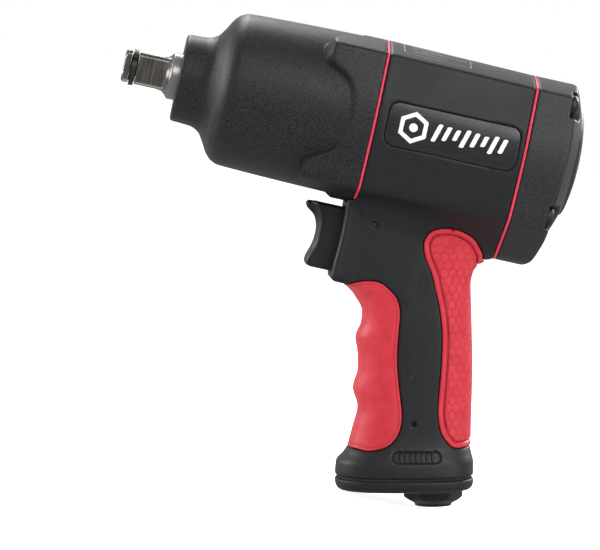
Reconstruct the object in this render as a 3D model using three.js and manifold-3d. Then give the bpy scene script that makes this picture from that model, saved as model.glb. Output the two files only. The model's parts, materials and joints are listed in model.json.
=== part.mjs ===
// A pistol-grip air impact wrench with a half-inch square drive, in millimetres.
// The drive axis is X, from the centre of the square's end face at the origin to the rear cover at +X.
// +Z is up, Y is across the tool, and the handle hangs down and rakes back by RAKE.
import * as THREE from "three";
import { mergeVertices } from "three/addons/utils/BufferGeometryUtils.js";
import Module from "manifold-3d";

const wasm = await Module();
wasm.setup();

// ---------- driving dimensions ----------
const RAKE = THREE.MathUtils.degToRad(12.5); // how far the handle leans back from -Z
const SQUARE = 12.7; // half-inch drive, across flats
const GAP = 0.3; // between pieces cut to each other's shape
const SEAT = 0.1; // between plane faces that bear on each other

const NOSE_X = 22; // front face of the hammer case
const CASE_END_X = 97.9; // rear face of the hammer case
const GASKET_THICK = 1.8;
const HOUSING_X = CASE_END_X + GASKET_THICK + 2 * SEAT; // front face of the motor housing
const HOUSING_END_X = 157.2;
const REAR_GASKET_THICK = 1.6;
const COVER_X = HOUSING_END_X + REAR_GASKET_THICK + 2 * SEAT;
const COVER_END_X = 182.9; // crown of the rear cover

const CASE_CAVITY_R = 27.4;
const NOSE_BORE_R = 12.6;
const SHAFT_R = 9.25; // anvil's round shaft
const LINER_R = 28;
const HOUSING_BORE_R = LINER_R + GAP;
const BOLT_OFFSET = 22; // each through bolt's place from the drive axis, along Y and along Z
const BOLT_R = 2.4;
const BOLT_HOLE_R = 2.8;
const BOLT_HEAD_R = 4.3;
const BOLT_HEAD_X = 172.4; // underside of each bolt's head, in its pocket
const BOLT_HEAD_HIGH = 3.4;
const BASE_SCREWS = [[91.6, 0], [119, 14.8], [119, -14.8]]; // u, y in the handle's frame

const MOTOR_X = 107.1; // front of the cylinder liner
const MOTOR_END_X = 146;
const BORE_R = 23.2; // liner's bore
const BORE_OFFSET = 2; // the bore's centre above the rotor's axis
const ROTOR_R = 20.7;
const VANES = 6;

const CAGE_X = 46; // front of the hammer cage
const CAGE_END_X = 90;
const CAGE_R = 26.4;
const HAMMER_R = 22;
const HAMMER_PIN_OFFSET = 17.6; // each hammer pin's place from the drive axis
const HAMMER_PIN_R = 2.6;

const TRIGGER_Z = -48.5; // height of the throttle rod
const TRIGGER_TRAVEL = 5;
const TRIGGER_HALF_WIDTH = 7.6;
const TRIGGER_PIN = [108.8, -39.4]; // x, z
const TRIGGER_PIN_R = 0.95;
const ROD_R = 1.9;

// In the handle's own frame, u runs back and w runs up the handle. Its origin is the part's.
const SUPPLY_U = 121.9; // centre of the air inlet
const SUPPLY_R = 8.2;
const SEAM_W = -161.3; // underside of the handle, where the base gasket lies
const BASE_W = -167.1; // underside of the exhaust deflector
const INLET_W = -173.9; // end face of the inlet bushing
const NECK_BORE_R = 9.4; // wider end of the supply bore, round the inlet bushing's shank
const EXHAUST = { u0: 97.5, u1: 110.5, half: 8 }; // the duct that leads the spent air down
const LOCK_PIN = [112.9, -140]; // u, w of the pin that holds the inlet bushing
const BADGE = { u0: 104.6, u1: 123.4, w0: -155.3, w1: -150.9 }; // oval recess above the base
const SHELL = 2.5; // thickness of the soft grips

// ---------- materials ----------
const finish = (color, roughness, metalness) =>
  new THREE.MeshStandardMaterial({ color, roughness, metalness });
const CASE_BLACK = finish(0x2b2c2e, 0.62, 0);
const COMPOSITE = finish(0x2a2b2d, 0.55, 0);
const GRIP_RED = finish(0xd83a4a, 0.6, 0);
const GASKET_RED = finish(0xd6304c, 0.5, 0);
const RUBBER = finish(0x161616, 0.7, 0);
const STEEL = finish(0xb4b2ae, 0.32, 1);
const DARK_STEEL = finish(0x45454a, 0.4, 1);
const BLACK_STEEL = finish(0x1d1d1f, 0.42, 0.8);
const ALUMINIUM = finish(0xc3c6ca, 0.38, 1);
const BRONZE = finish(0xb98d4e, 0.36, 1);
const PHENOLIC = finish(0x7b4a2a, 0.6, 0);
const FELT = finish(0x8c8f88, 0.95, 0);
const PLATE = finish(0x1c1e22, 0.3, 0.6);

// ---------- solids ----------
// A closed geometry as a solid that faces out, whichever way its profile was drawn.
function solid(geometry) {
  const plain = geometry.index ? geometry.toNonIndexed() : geometry.clone();
  for (const name of Object.keys(plain.attributes)) if (name !== "position") plain.deleteAttribute(name);
  const merged = mergeVertices(plain, 1e-4);
  const vertProperties = merged.attributes.position.array;
  const triVerts = new Uint32Array(merged.index.array);
  const made = new wasm.Manifold(new wasm.Mesh({ numProp: 3, vertProperties, triVerts }));
  if (made.volume() > 0) return made;
  for (let i = 0; i < triVerts.length; i += 3) {
    [triVerts[i + 1], triVerts[i + 2]] = [triVerts[i + 2], triVerts[i + 1]];
  }
  return new wasm.Manifold(new wasm.Mesh({ numProp: 3, vertProperties, triVerts }));
}
const join = (first, ...rest) => rest.reduce((a, b) => a.add(b), first);
const cut = (first, ...rest) => rest.reduce((a, b) => a.subtract(b), first);

// A body turned about X, from a profile of [x, radius].
function turned(profile, segments = 18, y = 0, z = 0) {
  const outline = profile.map(([x, r]) => new THREE.Vector2(r, x));
  const geometry = new THREE.LatheGeometry(outline, segments);
  return solid(geometry.rotateZ(-Math.PI / 2).rotateX(Math.PI / segments).translate(0, y, z));
}
const rod = (x0, x1, r, segments = 16, y = 0, z = 0) =>
  turned([[x0, 0], [x0, r], [x1, r], [x1, 0]], segments, y, z);
const tube = (x0, x1, inner, outer, segments = 18) =>
  turned([[x0, inner], [x0, outer], [x1, outer], [x1, inner], [x0, inner]], segments);
// The same about the handle's w axis, from a profile of [w, radius].
function turnedUp(profile, segments = 16, u = 0) {
  const outline = profile.map(([w, r]) => new THREE.Vector2(r, w));
  const geometry = new THREE.LatheGeometry(outline, segments);
  return solid(geometry.rotateX(Math.PI / 2).rotateZ(Math.PI / segments).translate(u, 0, 0));
}
const post = (w0, w1, r, segments = 16, u = SUPPLY_U) =>
  turnedUp([[w0, 0], [w0, r], [w1, r], [w1, 0]], segments, u);
const sleeve = (w0, w1, inner, outer, segments = 16, u = SUPPLY_U) =>
  turnedUp([[w0, inner], [w0, outer], [w1, outer], [w1, inner], [w0, inner]], segments, u);

const block = (x0, x1, y0, y1, z0, z1) =>
  solid(
    new THREE.BoxGeometry(x1 - x0, y1 - y0, z1 - z0).translate((x0 + x1) / 2, (y0 + y1) / 2, (z0 + z1) / 2),
  );
// A prism whose outline of [x, z] is swept along Y.
function sideways(outline, y0, y1) {
  const shape = new THREE.Shape(outline.map(([x, z]) => new THREE.Vector2(x, z)));
  const geometry = new THREE.ExtrudeGeometry(shape, { depth: y1 - y0, bevelEnabled: false });
  return solid(geometry.rotateX(Math.PI / 2).translate(0, y1, 0));
}
// A prism whose outline of [y, z] is swept along X, with round or shaped holes.
function lengthways(outline, x0, x1, holes = []) {
  const shape = new THREE.Shape(outline.map(([y, z]) => new THREE.Vector2(y, z)));
  shape.holes = holes.map((hole) => new THREE.Path(hole.map(([y, z]) => new THREE.Vector2(y, z))));
  const geometry = new THREE.ExtrudeGeometry(shape, { depth: x1 - x0, bevelEnabled: false });
  const toYZ = new THREE.Matrix4().makeBasis(
    new THREE.Vector3(0, 1, 0), new THREE.Vector3(0, 0, 1), new THREE.Vector3(1, 0, 0));
  return solid(geometry.applyMatrix4(toYZ).translate(x0, 0, 0));
}
// A prism whose outline of [x, y] is swept up along Z.
function upright(outline, z0, z1) {
  const shape = new THREE.Shape(outline.map(([x, y]) => new THREE.Vector2(x, y)));
  return solid(new THREE.ExtrudeGeometry(shape, { depth: z1 - z0, bevelEnabled: false }).translate(0, 0, z0));
}
const circle = (r, segments, a = 0, b = 0) =>
  Array.from({ length: segments }, (_, i) => {
    const turn = (2 * Math.PI * (i + 0.5)) / segments;
    return [a + r * Math.cos(turn), b + r * Math.sin(turn)];
  });
// A skin over rings of points, with a flat cap on each end.
function loft(rings) {
  const across = rings[0].length;
  const positions = [...rings.flat().flatMap((p) => p.toArray())];
  const index = [];
  for (let i = 0; i + 1 < rings.length; i += 1) {
    for (let j = 0; j < across; j += 1) {
      const a = i * across + j;
      const b = i * across + ((j + 1) % across);
      index.push(a, b, a + across, b, b + across, a + across);
    }
  }
  for (const [start, turn] of [[0, 1], [(rings.length - 1) * across, -1]]) {
    const ring = rings[start / across];
    const centre = ring.reduce((sum, p) => sum.add(p), new THREE.Vector3()).divideScalar(across);
    const hub = positions.length / 3;
    positions.push(...centre.toArray());
    for (let j = 0; j < across; j += 1) {
      const pair = [start + j, start + ((j + 1) % across)];
      index.push(hub, ...(turn > 0 ? pair.reverse() : pair));
    }
  }
  const geometry = new THREE.BufferGeometry();
  geometry.setAttribute("position", new THREE.Float32BufferAttribute(positions, 3));
  return solid(geometry.setIndex(index));
}
// Corners of [a, b, radius, steps] joined by straight lines and arcs.
function rounded(corners) {
  const count = corners.length;
  return corners.flatMap(([a, b, radius, steps], i) => {
    const here = new THREE.Vector2(a, b);
    const back = new THREE.Vector2(...corners[(i + count - 1) % count]).sub(here).normalize();
    const on = new THREE.Vector2(...corners[(i + 1) % count]).sub(here).normalize();
    const half = Math.acos(THREE.MathUtils.clamp(back.dot(on), -1, 1)) / 2;
    const reach = radius / Math.tan(half);
    const from = here.clone().addScaledVector(back, reach);
    const to = here.clone().addScaledVector(on, reach);
    const curve = new THREE.QuadraticBezierCurve(from, here, to);
    return curve.getPoints(steps).map((p) => [p.x, p.y]);
  });
}
const spline = (points, steps) =>
  new THREE.SplineCurve(points.map((p) => new THREE.Vector2(...p))).getPoints(steps).map((p) => [p.x, p.y]);
const moved = (made, x, y, z) => made.translate([x, y, z]);
// Turns a solid of the handle's frame into the part's frame.
const raked = (made) => made.rotate([0, THREE.MathUtils.radToDeg(-RAKE), 0]);

// ---------- the tree ----------
const wrench = new THREE.Group();
const handle = new THREE.Group();
handle.rotation.y = -RAKE;
wrench.add(handle);
function piece(name, made, material, parent = wrench) {
  const { vertProperties, triVerts } = made.getMesh();
  const geometry = new THREE.BufferGeometry();
  geometry.setAttribute("position", new THREE.BufferAttribute(vertProperties, 3));
  geometry.setIndex(new THREE.BufferAttribute(triVerts, 1));
  geometry.computeVertexNormals();
  const mesh = new THREE.Mesh(geometry, material);
  mesh.name = name;
  parent.add(mesh);
}

// ---------- outer sections ----------
// Half of the barrel's section at its front and at its rear: [y, z, radius, steps], from the top down.
const SECTION_FRONT = [
  [13, 32, 6, 2], [28, 26.5, 2.4, 1], [33.4, 0, 18, 3], [28.5, -26.5, 2.4, 1], [13, -33.1, 6, 2],
];
const SECTION_REAR = [
  [13, 30.9, 6, 2], [27.6, 25.6, 2.4, 1], [34, -2, 18, 3], [29.8, -25.6, 4, 1], [8, -42.9, 7, 2],
];
// The barrel's outline at x, drawn in by inset.
function section(x, inset = 0) {
  const share = (x - HOUSING_X) / (HOUSING_END_X - HOUSING_X);
  const half = SECTION_FRONT.map(([y, z, radius, steps], i) => {
    const [ry, rz, rr] = SECTION_REAR[i];
    const at = [THREE.MathUtils.lerp(y, ry, share), THREE.MathUtils.lerp(z, rz, share)];
    const shrink = 1 - inset / Math.hypot(...at);
    return [at[0] * shrink, at[1] * shrink, THREE.MathUtils.lerp(radius, rr, share), steps];
  });
  return rounded([...half, ...half.map(([y, z, r, n]) => [-y, z, r, n]).reverse()]);
}
const ringAt = (x, outline) => outline.map(([y, z]) => new THREE.Vector3(x, y, z));
const barrel = (x0, x1, inset = 0) => loft([x0, x1].map((x) => ringAt(x, section(x, inset))));

const boltPlaces = [[-1, 1], [1, 1], [-1, -1], [1, -1]].map(([y, z]) =>
  [y * BOLT_OFFSET, z * BOLT_OFFSET]);
const boltHoles = (x0, x1, r = BOLT_HOLE_R) => boltPlaces.map(([y, z]) => rod(x0, x1, r, 10, y, z));

// ---------- hammer case ----------
function hammerCase() {
  const shell = turned([
    [NOSE_X, NOSE_BORE_R], [NOSE_X, 16.2], [22.8, 17.1], [31, 17.5], [33.6, 18.8], [35.8, 21.5],
    [38.4, 26.2], [40.3, 28.6], [43.2, 30.1], [66, 31], [CASE_END_X - 2, 32], [CASE_END_X, 32],
    [CASE_END_X, CASE_CAVITY_R], [44, CASE_CAVITY_R], [41.5, 24.5], [41.5, NOSE_BORE_R], [NOSE_X, NOSE_BORE_R],
  ], 28);
  const flange = loft([
    ringAt(89, section(HOUSING_X, 1.8)), ringAt(90.5, section(HOUSING_X, 0.2)),
    ringAt(CASE_END_X, section(HOUSING_X, 0)),
  ]);
  // A boss round each through bolt, with a sloped nose.
  const lobes = boltPlaces.map(([y, z]) =>
    turned([[75.7, 0], [75.7, 4.2], [79.6, 6.6], [95, 6.8], [95, 0]], 14, y, z));
  const cavity = turned([[40, 0], [40, 24.5], [44, CASE_CAVITY_R], [101, CASE_CAVITY_R], [101, 0]], 28);
  return cut(join(shell, flange, ...lobes), cavity, rod(20, 45, NOSE_BORE_R, 18), ...boltHoles(79.5, 101));
}
piece("hammer_case", hammerCase(), CASE_BLACK);
piece("anvil_bushing", tube(25.5, 41.3, SHAFT_R + GAP, NOSE_BORE_R - GAP), BRONZE);
piece("nose_seal", tube(22.6, 25.3, SHAFT_R + 0.15, NOSE_BORE_R - GAP), RUBBER);

// ---------- anvil and its socket retainer ----------
const GROOVE_X = [2.9, 5.3];
function anvil() {
  const h = SQUARE / 2;
  const corners = [[h, h], [-h, h], [-h, -h], [h, -h]].map((at) => [...at, 1.3, 2]);
  const square = lengthways(rounded(corners), 0, 17);
  const point = turned([[0, 0], [0, 6.9], [1, 7.9], [18, 7.9], [18, 0]], 32);
  const shaft = turned([
    [15.4, 0], [15.4, 6.2], [16.6, 6.7], [17.8, 7.7], [18.8, 9.1], [19, SHAFT_R], [41.6, SHAFT_R],
    [41.6, 11.6], [45, 11.6], [45, SHAFT_R], [51.6, SHAFT_R], [51.6, 8.5], [83, 8.5], [83, 0],
  ], 24);
  const groove = tube(...GROOVE_X, 5.1, 12, 24);
  // A striking lug for each hammer, on opposite sides.
  const lug = (x0, x1, side) => {
    const outline = [[-3.6, side * 4], [3.6, side * 4], [3.2, side * 14], [-3.2, side * 14]];
    const wedge = lengthways(outline, x0, x1);
    return wedge.intersect(rod(x0, x1, 12.1, 24));
  };
  return join(cut(square.intersect(point), groove), shaft, lug(52.5, 66.5, 1), lug(68.5, 82.5, -1));
}
piece("anvil", anvil(), STEEL);
piece("retainer_o_ring", tube(3.5, 4.7, 5.3, 6.1), RUBBER);
// A split spring ring: the gap faces forward and up on the left side.
const ringGap = block(0, 8, -9, -4, 2.2, 3.8);
piece("retaining_ring", cut(tube(3.1, 5.1, 6.4, 7.15, 32), ringGap), BLACK_STEEL);

// ---------- hammer cage, hammers and pins ----------
const pinHoles = (x0, x1, r) => [-1, 1].map((side) => rod(x0, x1, r, 12, side * HAMMER_PIN_OFFSET, 0));
function hammerCage() {
  const front = tube(CAGE_X, 51, 12.5, CAGE_R, 28);
  const rear = rod(84, CAGE_END_X, CAGE_R, 28);
  const wall = tube(50, 85, 24.6, CAGE_R, 28);
  const pillar = (side) => wall.intersect(block(49, 86, -11, 11, ...(side > 0 ? [0, 30] : [-30, 0])));
  const hexDrive = lengthways(circle(6.6, 6), 83, 91);
  return cut(join(front, rear, pillar(1), pillar(-1)), hexDrive, ...pinHoles(45, 91, HAMMER_PIN_R + GAP));
}
piece("hammer_cage", hammerCage(), DARK_STEEL);
// A ring that rocks on the pin at side * HAMMER_PIN_OFFSET. Its jaw and its open notch face the other pin.
function hammer(x0, x1, side) {
  const ring = tube(x0, x1, 13.9, HAMMER_R, 32);
  // A block between two distances from the axis, on the side away from the ring's own pin.
  const opposite = (near, far, xa, xb, half) =>
    block(xa, xb, ...(side > 0 ? [-far, -near] : [near, far]), -half, half);
  const jaw = opposite(10.3, 15, x0, x1, 3.5);
  const notch = opposite(14.9, 24, x0 - 1, x1 + 1, 6);
  const hole = rod(x0 - 1, x1 + 1, HAMMER_PIN_R + GAP, 12, side * HAMMER_PIN_OFFSET, 0);
  return cut(join(ring, jaw), notch, hole);
}
piece("hammer_front", hammer(51.6, 67, 1), DARK_STEEL);
piece("hammer_rear", hammer(68, 83.4, -1), DARK_STEEL);
for (const [name, side] of [["hammer_pin_right", 1], ["hammer_pin_left", -1]]) {
  piece(name, rod(CAGE_X + 0.4, CAGE_END_X - 0.4, HAMMER_PIN_R, 12, side * HAMMER_PIN_OFFSET, 0), STEEL);
}

// ---------- air motor ----------
const DOWEL = [0, -25]; // y, z
const dowelHole = (x0, x1) => rod(x0, x1, 1.9, 10, ...DOWEL);
const FRONT_BEARING = { x0: 101.8, x1: 106, bore: 6.3, split: 8.6, outer: 12 };
const REAR_BEARING = { x0: 147.6, x1: 152.8, bore: 5.3, split: 7.4, outer: 11 };
function endPlate(x0, x1, pocket, bearing) {
  const through = [x0 - 1, x1 + 1];
  const seat = rod(...pocket, bearing.outer + GAP, 18);
  return cut(rod(x0, x1, LINER_R, 28), seat, rod(...through, bearing.split, 18), dowelHole(...through));
}
const HOUSING_STEP_X = HOUSING_X + 0.2; // the front plate sits just inside the housing
piece("front_end_plate", endPlate(HOUSING_STEP_X, MOTOR_X - SEAT, [100, 106.2], FRONT_BEARING), ALUMINIUM);
piece("rear_end_plate", endPlate(MOTOR_END_X + SEAT, 153, [147.4, 154], REAR_BEARING), ALUMINIUM);
function liner() {
  const body = rod(MOTOR_X, MOTOR_END_X, LINER_R, 28);
  const bore = rod(MOTOR_X - 1, MOTOR_END_X + 1, BORE_R, 28, 0, BORE_OFFSET);
  // Exhaust slots through the wall on both sides.
  const slots = [113, 121, 129, 137].map((x) => block(x, x + 4, -30, 30, -4, 3));
  return cut(body, bore, dowelHole(MOTOR_X - 1, MOTOR_END_X + 1), ...slots);
}
piece("cylinder_liner", liner(), DARK_STEEL);
piece("liner_dowel_pin", rod(102.5, 151.5, 1.6, 10, ...DOWEL), STEEL);
for (const [name, b] of [["front_bearing", FRONT_BEARING], ["rear_bearing", REAR_BEARING]]) {
  piece(`${name}_outer_race`, tube(b.x0, b.x1, b.split + 0.2, b.outer), STEEL);
  piece(`${name}_inner_race`, tube(b.x0 + 0.2, b.x1 - 0.2, b.bore, b.split - 0.2), STEEL);
}
const around = (i, count) => (360 * i) / count + 15;
function rotor() {
  const body = turned([
    [90.4, 0], [90.4, 6], [MOTOR_X + 0.4, 6], [MOTOR_X + 0.4, ROTOR_R],
    [MOTOR_END_X - 0.4, ROTOR_R], [MOTOR_END_X - 0.4, 5], [153.6, 5], [153.6, 0],
  ], 24);
  const hexEnd = lengthways(circle(6.2, 6), 84.4, 91);
  const slot = block(MOTOR_X - 1, MOTOR_END_X + 1, -1.3, 1.3, 10, 25);
  const slots = Array.from({ length: VANES }, (_, i) => slot.rotate([around(i, VANES), 0, 0]));
  return cut(join(body, hexEnd), ...slots);
}
piece("rotor", rotor(), STEEL);
for (let i = 0; i < VANES; i += 1) {
  const vane = block(MOTOR_X + 0.5, MOTOR_END_X - 0.5, -1, 1, 10.4, 20.9);
  piece(`rotor_vane_${i + 1}`, vane.rotate([around(i, VANES), 0, 0]), PHENOLIC);
}

// ---------- trigger, its pin and the throttle rod ----------
function trigger() {
  const outline = [
    ...spline([
      [83.2, -36], [82.2, -37.2], [84.6, -39.6], [87, -43.6], [87.9, -48.4], [87.2, -53.4], [86.2, -57.4],
    ], 14),
    [86.5, -59.8], [88.6, -60.9], [112, -60.9], [112, -36],
  ];
  const half = TRIGGER_HALF_WIDTH;
  const plan = rounded([[81, -half, 5, 4], [112, -half, 0.5, 1], [112, half, 0.5, 1], [81, half, 5, 4]]);
  const body = sideways(outline, -half, half).intersect(upright(plan, -62, -35));
  const slack = 1.3; // half of the pin slot's height
  const [px, pz] = TRIGGER_PIN;
  const slot = block(px - slack - TRIGGER_TRAVEL, px + slack, -9, 9, pz - slack, pz + slack);
  const socket = rod(104, 113, ROD_R + GAP, 14, 0, TRIGGER_Z);
  return cut(body, slot, socket);
}
piece("trigger", trigger(), COMPOSITE);
const VALVE_TIP_X = 135.6; // where the throttle rod meets the valve's stem
piece("throttle_rod", rod(104.3, VALVE_TIP_X - 1.5 - GAP, ROD_R, 14, 0, TRIGGER_Z), STEEL);

// ---------- handle envelope ----------
// [w, front u, rear u, half width]: the silhouette with the soft grips on.
const HANDLE = [
  [-36, 92, 135, 14.5], [-54, 87, 139.7, 15.2], [-68, 84.8, 140.6, 15.4], [-76, 82.4, 139.8, 15.4],
  [-81, 80.9, 137.2, 15.4], [-83.4, 81.8, 136.2, 15.4], [-85.4, 86, 136, 15.4], [-90, 90.4, 136.1, 15.8],
  [-97, 93.8, 136.4, 16.2], [-101, 93.6, 136.5, 16.4], [-107, 91.6, 136.8, 16.5], [-113, 92.2, 136.8, 16.5],
  [-119, 92.3, 136.9, 16.5], [-127, 90.5, 136.9, 16.5], [-134.5, 92, 136.7, 16.5], [-142, 90.4, 136.5, 16.8],
  [-149.6, 88.1, 136.3, 17.4], [-152.4, 86.4, 136.8, 19], [-156, 83.4, 137.6, 20.6], [SEAM_W, 83, 137.6, 21],
];
const RING = 18;
// One ring of the handle: a superellipse, squarer where the trigger housing is.
function handleRing([w, front, rear, half], inset = 0) {
  const power = w > -84 ? 0.55 : 0.78;
  const bend = (v) => Math.sign(v) * Math.abs(v) ** power;
  const middle = (front + rear) / 2;
  const reach = (rear - front) / 2 - inset;
  return Array.from({ length: RING }, (_, i) => {
    const turn = (2 * Math.PI * i) / RING;
    const [along, across] = [bend(Math.cos(turn)), bend(Math.sin(turn))];
    return new THREE.Vector3(middle + reach * along, (half - inset) * across, w);
  });
}
const handleSkin = (inset) => loft(HANDLE.map((ring) => handleRing(ring, inset)));

// The soft grips' outlines on the side of the handle, as [u, w].
const FRONT_GRIP = [
  ...spline([
    [88.3, -86.2], [93, -84.9], [99.6, -85.2], [105.2, -89.8], [107.3, -96.5], [106.4, -107], [106.1, -117],
    [107.2, -128], [108, -137], [105.4, -145.4], [99.5, -149.6], [92, -149.8], [88, -149.8],
  ], 13),
  [80, -150], [80, -86.4],
];
const REAR_GRIP = [
  ...spline([
    [140.6, -77.2], [139, -72.2], [134.4, -67.2], [128.2, -64.5], [121.6, -64.6], [117.4, -68.2],
    [117.2, -75], [120.6, -88.2], [123.1, -102], [123.4, -112], [122.4, -127], [121.5, -136.4],
    [123.6, -144.2], [128.7, -148.9], [136, -148.8],
  ], 15),
  [146, -149], [146, -77.4],
];
// An outline grown by a gap, away from its own middle.
function grown(outline, by) {
  const u = outline.reduce((sum, p) => sum + p[0], 0) / outline.length;
  const w = outline.reduce((sum, p) => sum + p[1], 0) / outline.length;
  return outline.map(([a, b]) => {
    const away = Math.hypot(a - u, b - w);
    return [a + (by * (a - u)) / away, b + (by * (b - w)) / away];
  });
}
function grip(outline) {
  return cut(handleSkin(0).intersect(sideways(outline, -30, 30)), handleSkin(SHELL));
}
piece("front_grip", grip(FRONT_GRIP), GRIP_RED, handle);
piece("rear_grip", grip(REAR_GRIP), GRIP_RED, handle);

// ---------- motor housing with its handle ----------
const plateOutline = rounded([
  [103.6, 9.2, 4, 4], [155.2, 9.2, 4, 4], [155.2, -7.8, 4, 4], [103.6, -7.8, 4, 4],
]);
const plateSides = [["left", -1], ["right", 1]];
const sidePrism = (outline, side) => sideways(outline, side > 0 ? 20 : -40, side > 0 ? 40 : -20);
function motorHousing() {
  const pocketFor = (outline) => cut(sideways(grown(outline, GAP), -36, 36), handleSkin(SHELL + GAP));
  const pockets = [FRONT_GRIP, REAR_GRIP].map(pocketFor).map(raked);
  // Air comes up the supply bore behind, and leaves down the exhaust duct in front.
  const supply = join(post(-141, -60, SUPPLY_R, 16), post(SEAM_W - 1, -140, NECK_BORE_R, 18));
  const { u0, u1, half } = EXHAUST;
  const upperDuct = block(108.6, 111.6, -half, half, -93, -30);
  const exhaust = join(block(u0, u1, -half, half, SEAM_W - 1, -92), upperDuct);
  const badgeCorners = [
    [BADGE.u0, BADGE.w1], [BADGE.u1, BADGE.w1], [BADGE.u1, BADGE.w0], [BADGE.u0, BADGE.w0],
  ];
  const slot = sideways(rounded(badgeCorners.map((at) => [...at, 2.1, 4])), -30, -18.7);
  const lockPin = sideways(circle(1.1, 10, ...LOCK_PIN), -20, 20);
  const screws = BASE_SCREWS.map(([u, y]) => moved(post(SEAM_W - 1, -152.5, 1.9, 10, u), 0, y, 0));
  const openHandle = raked(cut(handleSkin(0), supply, exhaust, slot, lockPin, ...screws));
  const triggerPocket = block(70, 118, -8.2, 8.2, -61.6, -35.3);
  const rodBore = join(rod(117, 129, 4.3, 16, 0, TRIGGER_Z), rod(126, 134, ROD_R + 1, 16, 0, TRIGGER_Z));
  const bore = rod(HOUSING_X - 1, HOUSING_END_X + 1, HOUSING_BORE_R, 28);
  const feed = join(rod(136, HOUSING_END_X + 1, 3, 14, 0, -37), block(132, 142, -3, 3, -46, -34));
  const pinHole = sideways(circle(TRIGGER_PIN_R + 0.2, 10, ...TRIGGER_PIN), -20, 20);
  const plateRecess = plateSides.map(([, side]) =>
    cut(sidePrism(grown(plateOutline, GAP), side), barrel(HOUSING_X, HOUSING_END_X, 1.5)));
  const bolts = boltHoles(HOUSING_X - 1, HOUSING_END_X + 1);
  // The handle stops short of the hammer case and the rear gasket, and grows out of the barrel.
  const keep = join(block(60, HOUSING_END_X, -40, 40, -60, 0), block(60, 200, -40, 40, -200, -50));
  const noseClear = block(60, HOUSING_X, -40, 40, -33.8, 10);
  const made = join(barrel(HOUSING_X, HOUSING_END_X), cut(openHandle.intersect(keep), noseClear));
  return cut(made, bore, ...pockets, ...bolts, triggerPocket, rodBore, feed, pinHole, ...plateRecess);
}
piece("motor_housing", motorHousing(), COMPOSITE);
for (const [name, side] of plateSides) {
  const skin = cut(barrel(HOUSING_X, HOUSING_END_X, 0.3), barrel(HOUSING_X, HOUSING_END_X, 1.2));
  piece(`name_plate_${name}`, skin.intersect(sidePrism(plateOutline, side)), PLATE);
}
piece("trigger_pin", sideways(circle(TRIGGER_PIN_R, 10, ...TRIGGER_PIN), -15, 15), STEEL);
piece("inlet_lock_pin", sideways(circle(0.9, 10, ...LOCK_PIN), -14.5, 14.5), BLACK_STEEL, handle);

// ---------- throttle parts in the handle ----------
piece("throttle_bushing", moved(tube(119.9, 127, ROD_R + GAP, 4, 16), 0, 0, TRIGGER_Z), BRONZE);
piece("rod_seal", moved(tube(118.2, 119.7, ROD_R + 0.15, 4, 16), 0, 0, TRIGGER_Z), RUBBER);
piece("valve_seat", sleeve(-105, -100.3, 5, SUPPLY_R - GAP), BRONZE, handle);
function throttleValve() {
  const stem = post(-106, -75.8, 1.5, 12);
  const disc = turnedUp([[-108.4, 0], [-108.4, 4.4], [-107.6, 6.4], [-105.3, 6.4], [-105.3, 0]], 20, SUPPLY_U);
  return join(stem, disc);
}
piece("throttle_valve", throttleValve(), STEEL, handle);
function valveSpring() {
  const turns = 4.5;
  const steps = 10;
  const [low, high, radius, wire] = [-126.2, -109.4, 5, 0.55];
  class Helix extends THREE.Curve {
    getPoint(t, target = new THREE.Vector3()) {
      const turn = 2 * Math.PI * turns * t;
      const w = THREE.MathUtils.lerp(low, high, t);
      return target.set(SUPPLY_U + radius * Math.cos(turn), radius * Math.sin(turn), w);
    }
  }
  const section = new THREE.Shape(circle(wire, 4).map((p) => new THREE.Vector2(...p)));
  return solid(new THREE.ExtrudeGeometry(section, { steps: turns * steps, extrudePath: new Helix() }));
}
piece("valve_spring", valveSpring(), STEEL, handle);
piece("inlet_screen", turnedUp([
  [-140.8, 6.4], [-140.8, 7.4], [-140, 7.4], [-140, 6.6], [-127.2, 6.4], [-127.2, 0], [-127.9, 0], [-127.9, 5.8],
  [-140.2, 6], [-140.8, 6.4],
], 20, SUPPLY_U), BRONZE, handle);

// ---------- inlet bushing, base gasket and exhaust deflector ----------
const INLET_NECK_W = BASE_W - 0.2;
function inletBushing() {
  const shank = turnedUp([
    [-141.1, 5.7], [-141.1, 9], [-149, 9], [-149, 7.9], [-151.2, 7.9], [-151.2, 9], [INLET_NECK_W, 9],
    [INLET_NECK_W, 11.6], [-170.6, 11.6], [-172.7, 8.1], [-172.9, 7.5], [INLET_W, 7.5], [INLET_W, 5.7],
    [-141.1, 5.7],
  ], 18, SUPPLY_U);
  const flats = new THREE.CylinderGeometry(12, 12, 8, 6).rotateX(Math.PI / 2).rotateZ(Math.PI / 6);
  const hex = solid(flats.translate(SUPPLY_U, 0, -172.2));
  const ring = sleeve(-176.2, -168.2, 10, 20, 18);
  return cut(shank, cut(ring, hex));
}
piece("inlet_bushing", inletBushing(), BLACK_STEEL, handle);
piece("inlet_o_ring", sleeve(-150.9, -149.3, 8.1, 9.1), RUBBER, handle);

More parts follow.
